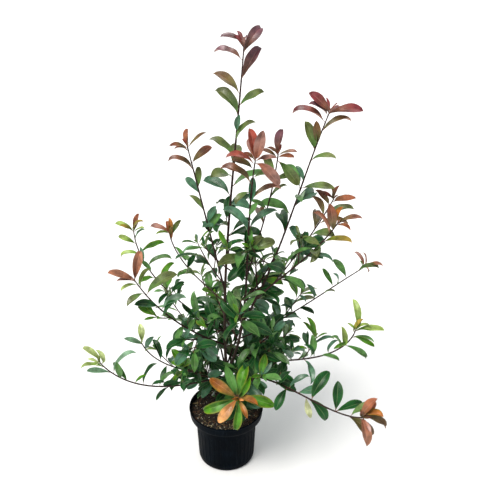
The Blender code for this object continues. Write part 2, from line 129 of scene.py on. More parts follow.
BOUGHS = (
    Shoot("leader", "trunk", 1.00, 49, -10, (94, 84, 85), 0.810, 0.0080,
          bare=0.43, leaf=0.070, pace=0.021, twigs=0, seed=83,
          tints="deep sea green olive green olive bronze plum",
          tips="plum plum crimson plum", sprigs=(0.12, 1)),
    Shoot("centre_stem", "trunk", 0.86, 315, -15, (61, 86, 76), 0.630, 0.0078,
          bare=0.56, leaf=0.068, pace=0.018, twigs=0, seed=23,
          tints="olive bronze olive rust bronze rust",
          tips="coral rose rust terracotta", sprigs=(0.2, 0.55)),
    Shoot("inner_shoot", "centre_stem", 0.51, 28, -1, (72, 74, 84), 0.300, 0.0036,
          bare=0, leaf=0.056, pace=0.019, twigs=0, seed=76,
          tints="green olive bronze olive rust", tips="rust coral plum", sprigs=(0.2, 0.70)),
    Shoot("right_leader", "centre_stem", 0.295, 22, 13, (57, 69, 63), 0.538, 0.0060,
          bare=0.38, leaf=0.070, pace=0.020, twigs=0, seed=67,
          tints="deep sea green green olive green olive bronze",
          tips="crimson crimson plum crimson", sprigs=(0.1, 1)),
    Shoot("right_upper", "centre_stem", 0.36, 358, -2, (52, 45, 61), 0.312, 0.0050,
          bare=0.34, leaf=0.058, pace=0.016, twigs=1, seed=89,
          tints="deep green sea olive olive bronze",
          tips="terracotta rust bronze terracotta", sprigs=(0.2, 0.60)),
    Shoot("right_twin", "right_upper", 0.32, 32, 1, (42, 46, 55), 0.240, 0.0034,
          bare=0, leaf=0.056, pace=0.018, twigs=0, seed=100,
          tints="green sea olive bronze", tips="rust terracotta bronze", sprigs=(0.2, 0.50)),
    Shoot("right_thin", "centre_stem", 0.215, 37, 0, (-5, 10, 8), 0.425, 0.0036,
          bare=0.34, leaf=0.046, pace=0.021, twigs=0, seed=96,
          tints="deep green green sea olive", tips="rose bronze olive"),
    Shoot("right_low", "trunk", 0.80, 349, -6, (45, 16, 80), 0.385, 0.0050,
          bare=0.30, leaf=0.056, pace=0.015, twigs=1, seed=83,
          tints="deep sea green fresh fresh lime", tips="lime fresh lime pale_lime", sprigs=(0.15, 1)),
    Shoot("right_front", "trunk", 0.72, 328, -23, (40, 4, 38), 0.440, 0.0050,
          bare=0.30, leaf=0.068, pace=0.019, twigs=0, seed=47,
          tints="deep deep sea deep green deep", tips="bronze rust terracotta rose", sprigs=(0.15, 1)),
    Shoot("left_front", "trunk", 0.67, 247, -66, (45, 19, 58), 0.415, 0.0044,
          bare=0.36, leaf=0.054, pace=0.018, twigs=0, seed=12,
          tints="deep sea green fresh lime", tips="pale_lime lime pale_lime", sprigs=(0.15, 1)),
    Shoot("left_middle", "leader", 0.08, 210, -1, (35, 48, 65), 0.345, 0.0046,
          bare=0.32, leaf=0.058, pace=0.017, twigs=1, seed=40,
          tints="deep green green olive fresh olive", tips="salmon rose terracotta lime", sprigs=(0.25, 1)),
    Shoot("left_second", "leader", 0.13, 161, 8, (24, 44, 89), 0.352, 0.0036,
          bare=0.34, leaf=0.055, pace=0.018, twigs=0, seed=84,
          tints="deep green fresh green fresh lime",
          tips="lime ochre pale_lime terracotta", sprigs=(0.25, 1)),
    Shoot("left_upper", "leader", 0.23, 138, 4, (23, 29, 79), 0.232, 0.0032,
          bare=0.30, leaf=0.055, pace=0.016, twigs=0, seed=117,
          tints="green fresh green olive lime", tips="lime terracotta ochre", sprigs=(0.2, 1)),
    Shoot("left_leader", "leader", 0.27, 199, 0, (78, 78, 78), 0.392, 0.0048,
          bare=0.38, leaf=0.064, pace=0.020, twigs=0, seed=61,
          tints="deep sea green olive bronze", tips="rust bronze rust plum", sprigs=(0.1, 0.80)),
    Shoot("left_low", "trunk", 0.72, 184, 3, (17, 24, 72), 0.250, 0.0040,
          bare=0.30, leaf=0.058, pace=0.016, twigs=1, seed=120,
          tints="deep sea deep green fresh", tips="lime pale_lime", sprigs=(0.2, 1)),
    Shoot("front_shoot", "trunk", 0.45, 283, 0, (34, 32, 22), 0.160, 0.0040,
          bare=0.62, leaf=0.076, pace=0.008, twigs=0, seed=56,
          tints="fresh amber fresh fresh amber fresh", tips="apricot fresh amber fresh"),
    Shoot("back_right", "trunk", 0.94, 74, -8, (20, 24, 44), 0.340, 0.0050,
          bare=0.30, leaf=0.060, pace=0.017, twigs=2, seed=61,
          tints="deep sea deep green sea green", tips="olive green bronze", sprigs=(0.6, 1)),
    Shoot("back_left", "trunk", 0.84, 100, 8, (14, 18, 40), 0.320, 0.0048,
          bare=0.30, leaf=0.060, pace=0.017, twigs=2, seed=33,
          tints="deep deep sea green green", tips="olive green bronze", sprigs=(0.6, 1)),
    Shoot("rear_right", "trunk", 0.76, 50, -6, (14, 18, 38), 0.315, 0.0042,
          bare=0, leaf=0.060, pace=0.019, twigs=1, seed=60,
          tints="deep sea deep green sea", tips="green fresh olive", sprigs=(0.6, 1)),
    Shoot("rear_left", "trunk", 0.90, 128, 6, (18, 22, 42), 0.275, 0.0042,
          bare=0, leaf=0.060, pace=0.018, twigs=1, seed=119,
          tints="deep sea deep green green", tips="olive green fresh", sprigs=(0.6, 1)),
    Shoot("front_left", "trunk", 0.64, 222, 6, (36, 40, 52), 0.185, 0.0036,
          bare=0, leaf=0.058, pace=0.014, twigs=1, seed=11,
          tints="deep sea deep deep green", tips="green ochre fresh", sprigs=(0.35, 1)),
    Shoot("front_right", "trunk", 0.58, 305, -4, (36, 38, 48), 0.205, 0.0036,
          bare=0, leaf=0.058, pace=0.014, twigs=1, seed=96,
          tints="deep deep sea green deep", tips="green sea fresh", sprigs=(0.35, 1)),
)

SpurRow = namedtuple("SpurRow", "host count first last heading rise length leaf twigs seed sprigs")

SPUR_ROWS = (
    SpurRow("trunk", 3, 0.34, 0.54, 165, (20, 34, 45), 0.105, 0.058, 1, 115, 0.5),
    SpurRow("leader", 5, 0.05, 0.37, 85, (30, 42, 55), 0.120, 0.060, 1, 67, 0.25),
    SpurRow("centre_stem", 5, 0.10, 0.50, 350, (30, 42, 55), 0.125, 0.060, 1, 61, 0.25),
    SpurRow("right_leader", 2, 0.15, 0.30, 95, (35, 45, 60), 0.110, 0.060, 1, 105, 0),
    SpurRow("right_low", 1, 0.22, 0.22, 30, (30, 30, 35), 0.110, 0.058, 1, 105, 0.5),
    SpurRow("right_front", 1, 0.20, 0.20, 10, (25, 30, 35), 0.110, 0.060, 1, 61, 0.5),
    SpurRow("left_middle", 1, 0.20, 0.20, 245, (25, 30, 35), 0.110, 0.058, 1, 73, 0.4),
)
SPUR_TINTS = "deep sea deep green deep green"
SPUR_TIPS = "green sea green fresh deep"


def mix(first, last, share):
    return first + (last - first) * share


def ease(values, share):
    """A value that runs through the first, the middle and the last of three."""
    first, middle, last = values
    return (
        first * (1 - share) * (1 - 2 * share)
        + middle * 4 * share * (1 - share)
        + last * share * (2 * share - 1)
    )


def aim(heading, rise):
    level = cos(radians(rise))
    return Vector(
        (level * cos(radians(heading)), level * sin(radians(heading)), sin(radians(rise)))
    )


def heading_and_rise(direction):
    level = hypot(direction.x, direction.y)
    return degrees(atan2(direction.y, direction.x)), degrees(atan2(direction.z, level))


def across(direction):
    side = direction.cross(UP)
    return side.normalized() if side.length > UPRIGHT else Vector((1, 0, 0))


def outward_at(turn, along):
    """The way that points out from a stem at a turn round it, in radians."""
    side = across(along)
    return cos(turn) * side + sin(turn) * side.cross(along)


def square_to(vector, direction):
    return (vector - vector.dot(direction) * direction).normalized()


class Path:
    """A shoot's centre line, in short steps of equal length, and its taper."""

    def __init__(self, start, heading, turn, rise, length, thick):
        self.length, self.thick = length, thick
        self.points = [Vector(start)]
        for k in range(PATH_STEPS):
            share = (k + 0.5) / PATH_STEPS
            step = aim(heading + turn * share, ease(rise, share)) * (length / PATH_STEPS)
            self.points.append(self.points[-1] + step)

    def spot(self, share):
        place = min(max(share, 0), 1) * PATH_STEPS
        k = min(int(place), PATH_STEPS - 1)
        step = self.points[k + 1] - self.points[k]
        return self.points[k] + step * (place - k), step.normalized()

    def radius(self, share):
        return mix(*self.thick, share) / 2


def ring_round(centre, side, over, radius, sides):
    angles = [tau * i / sides for i in range(sides)]
    return [centre + radius * (cos(a) * side + sin(a) * over) for a in angles]


def end_piece(path, first, last, sides, thinnest, room):
    """The solid tree of the plain tube that a shoot starts with."""
    points, faces, side = [], [], None
    for share in (first, mix(first, last, 0.5), last):
        centre, direction = path.spot(share)
        side = square_to(side, direction) if side else across(direction)
        radius = max(path.radius(share), thinnest) + room
        points += ring_round(centre, side, direction.cross(side), radius, sides)
    for ring in (0, sides):
        for i in range(sides):
            j = (i + 1) % sides
            faces.append((ring + i, ring + j, ring + sides + j, ring + sides + i))
    faces.append(tuple(range(sides)))
    return BVHTree.FromPolygons(points, faces)


def start_share(path, sides, thinnest, parent_tree):
    """How far along its path a shoot comes clear of its parent by the clearance."""
    room = CLEARANCE / cos(pi / sides)
    last = 2 * START_REACH / path.length
    for k in range(round(START_REACH / START_STEP)):
        reach = START_REACH - k * START_STEP
        first = (reach - CLEARANCE) / path.length
        if end_piece(path, first, last, sides, thinnest, room).overlap(parent_tree):
            break
    return (reach + START_STEP) / path.length


def spurs():
    for row in SPUR_ROWS:
        for k in range(row.count):
            share = mix(row.first, row.last, k / max(1, row.count - 1))
            name = f"{row.host}_spur_{k + 1}"
            heading = row.heading + GOLDEN_ANGLE * k
            yield Shoot(name, row.host, share, heading, 0, row.rise, row.length, SPUR_THICKNESS,
                        bare=0, leaf=row.leaf, pace=SPUR_PACE, twigs=row.twigs, seed=row.seed,
                        tints=SPUR_TINTS, tips=SPUR_TIPS, sprigs=(row.sprigs, 1))


Leaf = namedtuple("Leaf", "root forward up length width bend")


def either_way(draw, most):
    return draw.uniform(-most, most)


def leaf_on(shoot, path, share, climb, turn, draw):
    """The leaf at a share of a stem's path. climb runs from 0 at the mass's foot to 1 at its tip."""
    root, along = path.spot(share)
    turn = radians(turn + either_way(draw, TURN_DRAW))
    spread = radians(mix(*LEAF_SPREAD, climb) + either_way(draw, SPREAD_DRAW))
    roll = radians(either_way(draw, ROLL_DRAW))
    outward = outward_at(turn, along)
    forward = (outward * sin(spread) + along * cos(spread) + UP * LEAF_LIFT).normalized()
    level = square_to(along + UP, forward)
    up = cos(roll) * level + sin(roll) * forward.cross(level)
    length = shoot.leaf * mix(1.0, TIP_LEAF, climb**4) * draw.uniform(*LEAF_SIZES)
    width = length * LEAF_WIDTH * draw.uniform(*LEAF_WIDTHS)
    arch = radians(mix(*LEAF_ARCH, climb) + either_way(draw, ARCH_DRAW))
    return Leaf(root, forward, up, length, width, arch)


def leaf_tip(leaf):
    run, drop = sin(leaf.bend) / leaf.bend, (1 - cos(leaf.bend)) / leaf.bend
    return leaf.root + leaf.length * (run * leaf.forward - drop * leaf.up)


def leaf_places(shoot, name, first, length):
    """Where leaves stand on a stem: each one's number, share of the path, climb and turn."""
    count = max(3, round((1 - first) * length / shoot.pace))
    phase = random.Random(f"{name} {shoot.seed}").uniform(0, 360)
    for k in range(count):
        climb = (k + 0.6) / count
        share = mix(first, 1, climb * mix(CROWDING, 1, climb))
        yield k, min(share, 0.995), climb, phase + GOLDEN_ANGLE * k


def twig_paths(shoot, path, first):
    """The side twigs of a mass, each a short path with its own heading."""
    draw = random.Random(f"{shoot.name} twigs {shoot.seed}")
    phase = draw.uniform(0, 360)
    for k in range(shoot.twigs):
        root, along = path.spot(mix(first, 1, (k + 0.7) / (shoot.twigs + 1)))
        away = outward_at(radians(phase + GOLDEN_ANGLE * k), along) + along + UP * LEAF_LIFT
        heading, rise = heading_and_rise(away)
        rises = [rise + more for more in TWIG_RISES]
        length = draw.uniform(*TWIG_LENGTHS)
        yield Path(root, heading, 0, rises, length, (TWIG_THICKNESS, TIP_THICKNESS))


# What the solids bear. A place in the rule has several tries: the one whose tip is a corner of the
# mass's solid is the leaf that grew there, and where none is, the place is empty.

TIP_MATCH = 0.0006
TWIG_MATCH = 0.0025

Borne = namedtuple("Borne", "leaf climb shoot stem number along share tint", defaults=(0, ""))
Strand = namedtuple("Strand", "path shoot kind")


def tree_of(places):
    tree = KDTree(len(places))
    for k, place in enumerate(places):
        tree.insert(place, k)
    tree.balance()
    return tree


def solid_of(node):
    mesh = frame["nodes"][node].data
    return BVHTree.FromPolygons([v.co for v in mesh.vertices], [p.vertices for p in mesh.polygons])


def leaves_on(shoot, stem_name, path, first, corners):
    for k, share, climb, turn in leaf_places(shoot, stem_name, first, path.length):
        for attempt in range(LEAF_TRIES):
            draw = random.Random(f"{stem_name} {shoot.seed} {k} {attempt}")
            swing = LEAF_SWING * attempt * (-1) ** attempt
            leaf = leaf_on(shoot, path, share, climb, turn + swing, draw)
            if corners.find(leaf_tip(leaf))[2] < TIP_MATCH:
                yield Borne(leaf, climb, shoot, stem_name, k, path.spot(share)[1], share)
                break


def read_plant():
    """The trunk's path, and every strand of wood and every leaf that the solids stand for."""
    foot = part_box("trunk")[0].z
    thick = (2 * FORK_RADIUS,) * 2
    trunk = Path((0, 0, foot), 0, 0, (TRUNK_RISE,) * 3, FORK_HEIGHT - foot, thick)
    paths, strands, leaves = {"trunk": trunk}, [], []
    for shoot in (*BOUGHS, *spurs()):
        start, _ = paths[shoot.parent].spot(shoot.share)
        thick = (shoot.thickness, TIP_THICKNESS)
        path = Path(start, shoot.heading, shoot.turn, shoot.rise, shoot.length, thick)
        paths[shoot.name] = path
        first = shoot.bare + CLEARANCE / path.length
        if not shoot.bare:
            first = start_share(path, STEM_SIDES, THINNEST_STEM, solid_of(shoot.parent))
        kind = "spur" if "_spur_" in shoot.name else "bough"
        strands.append(Strand(path, shoot, kind))
        corners = tree_of([v.co for v in frame["nodes"][f"{shoot.name}_leaves"].data.vertices])
        leaves += leaves_on(shoot, shoot.name, path, first, corners)
        for k, twig in enumerate(twig_paths(shoot, path, first)):
            if corners.find(twig.points[-1])[2] < TWIG_MATCH:
                strands.append(Strand(twig, shoot, "twig"))
                leaves += leaves_on(shoot, f"{shoot.name} twig {k}", twig, TWIG_BARE, corners)
    return trunk, strands, leaves


# Leaves that the photograph shows one by one. Beyond the first of them the shoot bears no others.
# Each has its share of the shoot's length, the way it points in the picture in degrees, from 0 at
# the right to 90 at the top, its lean towards the viewer, its length in millimetres and its tint.
# The face of a BROAD one is turned more to the viewer than up.

BROAD = 0.9

SHOWN = {
    "leader": (
        (0.68, 140, 15, 74, "olive"), (0.73, 45, 30, 68, "olive"), (0.76, 80, 35, 40, "sea"),
        (0.80, 130, 0, 80, "olive"), (0.83, 30, 5, 64, "olive"), (0.86, 140, 0, 76, "bronze"),
        (0.90, 60, 0, 84, "plum", BROAD), (0.95, 160, 0, 66, "plum"), (0.97, 55, 0, 70, "plum"),
        (0.98, 125, 20, 36, "crimson"), (0.99, 160, 0, 54, "plum"),
    ),
    "right_leader": (
        (0.66, 0, 0, 78, "olive"), (0.69, 115, 10, 40, "sea", BROAD), (0.78, 5, 30, 64, "olive"),
        (0.83, 110, 20, 70, "olive", BROAD), (0.86, 95, 30, 54, "bronze"), (0.91, 25, 0, 74, "bronze"),
        (0.95, 160, 0, 80, "crimson"), (0.98, 150, 20, 54, "plum"), (0.99, 5, 0, 78, "crimson"),
        (0.99, 135, 10, 66, "crimson", BROAD),
    ),
    "left_leader": (
        (0.42, 120, 10, 36, "deep"), (0.44, 55, 10, 50, "green", BROAD),
        (0.49, 65, 10, 46, "sea", BROAD), (0.56, 130, 0, 56, "olive"), (0.69, 130, 0, 50, "sea"),
        (0.73, 90, 0, 50, "olive", BROAD), (0.84, 155, 0, 64, "rust"), (0.89, 40, 0, 58, "rust"),
        (0.96, 160, 0, 42, "terracotta"), (0.97, 175, 20, 32, "rust"), (0.98, 120, 20, 26, "coral"),
        (0.99, 90, 0, 42, "terracotta"),
    ),
    "centre_stem": (
        (0.62, 20, 0, 68, "olive"), (0.66, 200, 20, 56, "deep"), (0.69, 135, 0, 82, "sea"),
        (0.71, 35, 0, 78, "sea"), (0.76, 60, 30, 42, "green"), (0.81, 85, 10, 62, "sea", BROAD),
        (0.83, 25, 0, 74, "rust"), (0.86, 215, 20, 46, "olive"), (0.89, 150, 0, 80, "rust"),
        (0.92, 5, 25, 60, "olive"), (0.95, 155, 0, 54, "bronze"), (0.97, 165, 20, 68, "coral", BROAD),
        (0.98, 315, 15, 74, "rose", BROAD), (0.99, 75, 30, 70, "rose", BROAD),
        (0.99, 100, 15, 70, "coral"),
    ),
    "inner_shoot": (
        (0.56, 150, 20, 44, "green"), (0.65, 40, 0, 50, "olive"), (0.78, 20, 0, 48, "olive", BROAD),
        (0.82, 115, 0, 56, "olive"), (0.95, 310, 0, 72, "olive"), (0.96, 155, 0, 44, "rust"),
        (0.97, 0, 10, 38, "terracotta"), (0.98, 135, 20, 28, "coral"), (0.99, 80, 0, 58, "plum"),
    ),
    "left_second": (
        (0.66, 130, 30, 44, "green"), (0.71, 20, 0, 64, "green"), (0.76, 100, 30, 40, "mist"),
        (0.80, 180, 0, 52, "lime"), (0.82, 25, 0, 66, "fresh"), (0.89, 155, 0, 50, "lime"),
        (0.93, 45, 30, 40, "mist"), (0.98, 50, 30, 44, "ochre"), (0.98, 155, 0, 52, "lime"),
        (0.99, 75, 0, 46, "terracotta"),
    ),
    "left_middle": (
        (0.60, 85, 10, 46, "mist"), (0.66, 30, 10, 68, "mist", BROAD), (0.70, 170, 30, 60, "deep", BROAD),
        (0.84, 35, 0, 86, "olive"), (0.86, 215, 30, 52, "olive"), (0.91, 65, 0, 50, "lime"),
        (0.94, 195, 30, 44, "lime"), (0.97, 160, 10, 68, "salmon", BROAD),
        (0.99, 80, 0, 68, "salmon", BROAD),
    ),
    "left_upper": (
        (0.56, 60, 40, 56, "deep", BROAD), (0.68, 45, 20, 50, "mist"), (0.73, 335, 30, 46, "green"),
        (0.84, 310, 10, 48, "green"), (0.90, 105, 0, 52, "terracotta"), (0.94, 60, 0, 52, "olive"),
        (0.97, 90, 20, 46, "amber"), (0.99, 160, 0, 52, "rose"),
    ),
    "left_low": (
        (0.62, 255, 30, 50, "deep"), (0.70, 110, 0, 60, "deep"), (0.90, 60, 30, 48, "sea"),
        (0.97, 155, 30, 54, "mist"), (0.99, 95, 0, 50, "pale_lime", BROAD),
    ),
    "left_front": (
        (0.46, 60, 20, 40, "green"), (0.53, 225, 10, 46, "deep"), (0.60, 45, 10, 50, "green"),
        (0.65, 20, 20, 36, "deep"), (0.70, 60, 10, 62, "deep"), (0.75, 40, 20, 36, "fresh"),
        (0.80, 125, 10, 54, "green", BROAD), (0.84, 100, 30, 46, "green"), (0.89, 45, 0, 72, "mist"),
        (0.90, 175, 0, 58, "mist"), (0.95, 175, 20, 56, "lime"), (0.98, 100, 40, 48, "pale_lime"),
        (0.99, 140, 0, 53, "pale_lime"),
    ),
    "right_upper": (
        (0.74, 195, 10, 54, "green"), (0.80, 240, 30, 56, "olive"), (0.82, 0, 0, 68, "ochre"),
        (0.90, 125, 20, 64, "terracotta"), (0.94, 100, 30, 68, "rust"), (0.98, 75, 30, 50, "amber"),
        (0.99, 15, 20, 60, "rust"),
    ),
    "right_twin": (
        (0.78, 115, 20, 60, "bronze"), (0.84, 10, 10, 68, "olive"), (0.91, 130, 20, 54, "rust"),
        (0.96, 10, 20, 58, "terracotta"), (0.98, 70, 30, 42, "rust"), (0.99, 150, 20, 38, "coral"),
    ),
    "right_thin": (
        (0.40, 150, 30, 44, "sea"), (0.44, 345, 30, 46, "deep"), (0.50, 130, 30, 36, "sea"),
        (0.56, 115, 25, 50, "sea"), (0.64, 10, 20, 32, "olive"), (0.72, 120, 0, 56, "green"),
        (0.74, 105, 40, 44, "sea"), (0.83, 125, 0, 62, "green"), (0.92, 10, 0, 60, "olive"),
        (0.95, 100, 40, 32, "fresh"), (0.98, 120, 0, 50, "rose"), (0.99, 5, 30, 50, "terracotta"),
    ),
    "right_low": (
        (0.62, 125, 30, 50, "deep"), (0.66, 350, 20, 50, "green"), (0.72, 60, 30, 48, "sea"),
        (0.80, 120, 40, 54, "green"), (0.83, 95, 30, 60, "lime"), (0.85, 330, 0, 64, "green", BROAD),
        (0.88, 200, 30, 44, "fresh"), (0.92, 355, 30, 58, "green"), (0.94, 335, 20, 58, "fresh"),
        (0.96, 65, 30, 48, "ochre"), (0.98, 5, 20, 70, "lime"), (0.98, 35, 40, 46, "lime"),
        (0.99, 95, 0, 74, "lime"),
    ),
    "right_front": (
        (0.36, 340, 20, 60, "deep"), (0.40, 60, 40, 56, "deep"), (0.45, 240, 20, 62, "deep"),
        (0.46, 35, 10, 60, "sea", BROAD), (0.52, 15, 10, 58, "sea", BROAD),
        (0.58, 283, 20, 50, "cream"), (0.59, 310, 0, 70, "deep", BROAD),
        (0.62, 58, 0, 80, "deep", BROAD), (0.79, 18, 0, 68, "deep", BROAD),
        (0.79, 85, 0, 70, "deep", BROAD), (0.88, 320, 0, 72, "bronze"), (0.90, 30, 20, 66, "olive"),
        (0.97, 340, 0, 65, "bronze"), (0.98, 280, 35, 66, "salmon"), (0.99, 15, 40, 56, "amber"),
        (0.99, 60, 30, 64, "terracotta"),
    ),
    "front_shoot": (
        (0.63, 110, 10, 50, "green"), (0.95, 347, 0, 92, "fresh", BROAD),
        (0.96, 110, 10, 86, "green", BROAD), (0.97, 200, 0, 90, "fresh", BROAD),
        (0.98, 265, 0, 80, "fresh", BROAD), (0.98, 75, 0, 88, "fresh", BROAD),
        (0.99, 230, 10, 74, "apricot", BROAD), (0.99, 145, 0, 84, "amber", BROAD),
        (0.99, 350, 35, 58, "amber", BROAD),
    ),
}
# How much longer and slimmer a shoot's leaves are than those of its solid
HABITS = {
    "leader": (1.20, 0.92), "leader_spur": (1.30, 0.90), "left_leader": (1.18, 0.88),
    "left_second": (1.10, 0.70), "left_upper": (1.10, 0.70), "left_front": (1.15, 0.70),
    "left_middle": (1.10, 0.80), "left_low": (1.10, 0.80),
    "centre_stem": (1.30, 0.92), "centre_stem_spur": (1.30, 0.88), "inner_shoot": (1.15, 0.86),
    "right_leader": (1.28, 0.94), "right_leader_spur": (1.25, 0.88), "right_upper": (1.28, 0.90),
    "right_twin": (1.28, 0.88), "right_thin": (1.25, 0.80), "right_low": (1.22, 0.68),
    "right_front": (1.18, 0.96), "front_shoot": (1.25, 0.90),
}
USUAL_HABIT = (1.10, 0.86)
SHOWN_BENDS = (42, 80)
SHOWN_ROLL = 24
SHOWN_TWIST = 16
SHOWN_WIDTHS = (0.82, 1.02)
SHOWN_UP = 2.4


def habit_of(shoot):
    return HABITS.get(shoot.name.rstrip("_12345"), USUAL_HABIT)


def shown_leaf(path, share, clock, lean, length, face_up, slimness, draw):
    """A leaf whose line from root to tip points as the viewer sees it, with its face turned up."""
    view = aim(90, -CAMERA_DOWN)
    clock, lean = radians(clock), radians(lean)
    flat = Vector((cos(clock), 0, 0)) + sin(clock) * square_to(UP, view)
    chord = flat * cos(lean) - view * sin(lean)
    half = radians(draw.uniform(*SHOWN_BENDS)) / 2
    roll = radians(either_way(draw, SHOWN_ROLL))
    level = square_to(UP * face_up - view, chord)
    level = cos(roll) * level + sin(roll) * chord.cross(level)
    length *= half / sin(half)
    width = length * LEAF_WIDTH * slimness * draw.uniform(*SHOWN_WIDTHS)
    forward, up = chord * cos(half) + level * sin(half), level * cos(half) - chord * sin(half)
    return Leaf(path.spot(share)[0], forward, up, length, width, 2 * half)


def as_shown(leaves, strands):
    """The leaves, with the ends of the shoots in SHOWN bearing those of the photograph instead."""
    shoots = {s.shoot.name: s for s in strands if s.kind == "bough" and s.shoot.name in SHOWN}
    kept = [b for b in leaves if b.stem not in shoots or b.share < SHOWN[b.stem][0][0]]
    for name, strand in shoots.items():
        longer, slimmer = habit_of(strand.shoot)
        for k, (share, clock, lean, length, tint, *broad) in enumerate(SHOWN[name]):
            face_up = broad[0] if broad else SHOWN_UP
            draw = random.Random(f"shown {name} {k}")
            along = strand.path.spot(share)[1]
            leaf = shown_leaf(
                strand.path, share, clock, lean, length / 1000, face_up, slimmer / longer, draw
            )
            leaf = leaf._replace(length=leaf.length / longer, width=leaf.width / slimmer)
            kept.append(Borne(leaf, share, strand.shoot, name, -1 - k, along, share, tint))
    return kept


# Colours of the leaves, as linear base colours

TINTS = {
    "deep": (0.005, 0.054, 0.011),
    # The blue-green of the next tint is partly the leaf's own and partly a painted sheen of the sky
    "sea": (0.050, 0.146, 0.078),
    "mist": (0.165, 0.300, 0.180),
    "green": (0.072, 0.188, 0.042),
    "fresh": (0.054, 0.182, 0.004),
    "olive": (0.112, 0.138, 0.040),
    "lime": (0.290, 0.385, 0.100),
    "pale_lime": (0.450, 0.530, 0.220),
    "cream": (0.400, 0.420, 0.230),
    "ochre": (0.340, 0.250, 0.038),
    "amber": (0.390, 0.128, 0.016),
    "apricot": (0.640, 0.300, 0.105),
    "rust": (0.170, 0.056, 0.029),
    "terracotta": (0.290, 0.094, 0.042),
    "coral": (0.265, 0.048, 0.030),
    "rose": (0.280, 0.150, 0.122),
    "salmon": (0.350, 0.158, 0.092),
    "bronze": (0.128, 0.070, 0.026),
    "crimson": (0.168, 0.024, 0.030),
    "plum": (0.132, 0.050, 0.066),
}
GREENS = ("deep", "sea", "mist", "green", "fresh", "olive", "lime", "pale_lime", "cream")
GLOSS = {"deep": 0.22, "fresh": 0.25, "sea": 0.50, "plum": 0.50}
USUAL_GLOSS = 0.36
PALE_GREEN = (0.330, 0.420, 0.200)
PALE_PINK = (0.600, 0.330, 0.260)
MARGIN_OF = {"amber": "fresh", "apricot": "ochre", "fresh": "ochre", "deep": "green"}
FOOT_OF = {
    "amber": "olive", "apricot": "amber", "rust": "olive", "terracotta": "bronze", "coral": "rust",
    "rose": "terracotta", "salmon": "rust", "bronze": "olive", "crimson": "bronze", "plum": "bronze",
    "olive": "green", "ochre": "fresh", "lime": "fresh", "pale_lime": "lime", "fresh": "green",
}
PETIOLE_RED = (0.200, 0.095, 0.058)
UNDER_GLOSS = 0.10
UNDER_PALENESS = 0.42
VEIN_PALENESS = 0.45
FOOT_SHARE = 0.7
VEIN_SHARE = 0.60
MARGIN_SHARE = 0.40
LEAF_RELIEF = (0.35, 0.0006)


def blend_colours(first, last, share):
    return tuple(mix(a, b, share) for a, b in zip(first, last))


def new_group(name, inputs, outputs):
    """An empty node group with named sockets, its own input and output nodes in place."""
    tree = bpy.data.node_groups.new(name, "ShaderNodeTree")
    for in_out, sockets in (("INPUT", inputs), ("OUTPUT", outputs)):
        for socket, kind in sockets.items():
            tree.interface.new_socket(name=socket, in_out=in_out, socket_type=kind)
    return tree, tree.nodes.new("NodeGroupInput"), tree.nodes.new("NodeGroupOutput")


def feed(tree, socket, value):
    """Links a socket to another node's, or sets it to a number or a colour."""
    if isinstance(value, bpy.types.NodeSocket):
        tree.links.new(value, socket)
    else:
        socket.default_value = value if isinstance(value, float) else (*value, 1)


def math_node(tree, operation, first, second=0.0, clamp=False):
    node = tree.nodes.new("ShaderNodeMath")
    node.operation = operation
    node.use_clamp = clamp
    feed(tree, node.inputs[0], first)
    feed(tree, node.inputs[1], second)
    return node.outputs[0]


def ramp_between(tree, value, low, high, first=0.0, last=1.0):
    """A value that goes smoothly from first to last while the other goes from low to high."""
    node = tree.nodes.new("ShaderNodeMapRange")
    node.interpolation_type = "SMOOTHSTEP"
    tree.links.new(value, node.inputs["Value"])
    for socket, number in (("From Min", low), ("From Max", high), ("To Min", first), ("To Max", last)):
        node.inputs[socket].default_value = number
    return node.outputs["Result"]


def mix_colour(tree, factor, first, second):
    node = tree.nodes.new("ShaderNodeMix")
    node.data_type = "RGBA"
    for k, value in ((0, factor), (6, first), (7, second)):
        feed(tree, node.inputs[k], value)
    return node.outputs[2]


def noise_node(tree, place, scale, detail=2.0, roughness=0.5):
    node = tree.nodes.new("ShaderNodeTexNoise")
    tree.links.new(place, node.inputs["Vector"])
    node.inputs["Scale"].default_value = scale
    node.inputs["Detail"].default_value = detail
    node.inputs["Roughness"].default_value = roughness
    return node.outputs["Fac"]


def object_place(tree):
    return tree.nodes.new("ShaderNodeTexCoord").outputs["Object"]


def squeezed_place(tree, share):
    """The place with its height made a share of itself, which draws a pattern out upwards."""
    node = tree.nodes.new("ShaderNodeMapping")
    node.inputs["Scale"].default_value = (1.0, 1.0, share)
    tree.links.new(object_place(tree), node.inputs["Vector"])
    return node.outputs["Vector"]


# Where most of a noise's values lie, and the leaf's pattern: reaches along the blade and away
# from its midrib are shares of it, scales are noise cells to the metre
NOISE_RANGE = (0.3, 0.7)
VEIN_PAIRS = 11.0
VEIN_SLANT = 3.0
MIDRIB_EDGE = (0.02, 0.085)
SIDE_VEIN_WIDTH = 0.14
SIDE_VEIN_DEPTH = 0.3
FOOT_FADE = (0.15, 0.80)
MARGIN_FADE = (0.62, 1.0)
STALK_FADE = 0.07
# The patches brighten and darken the blade: partly mottling, partly painted highlight and shade
MOTTLE_AND_LIGHT_PATCHES = (38.0, 3.0, 0.6)
MOTTLE_AND_LIGHT_RANGE = (0.32, 0.68)
MOTTLE_AND_LIGHT_SHADES = (0.56, 1.46)
PORES = (420.0, 2.0)
PORE_DEPTH = 0.25
BLADE_ROUGHNESS = (0.27, 0.40)


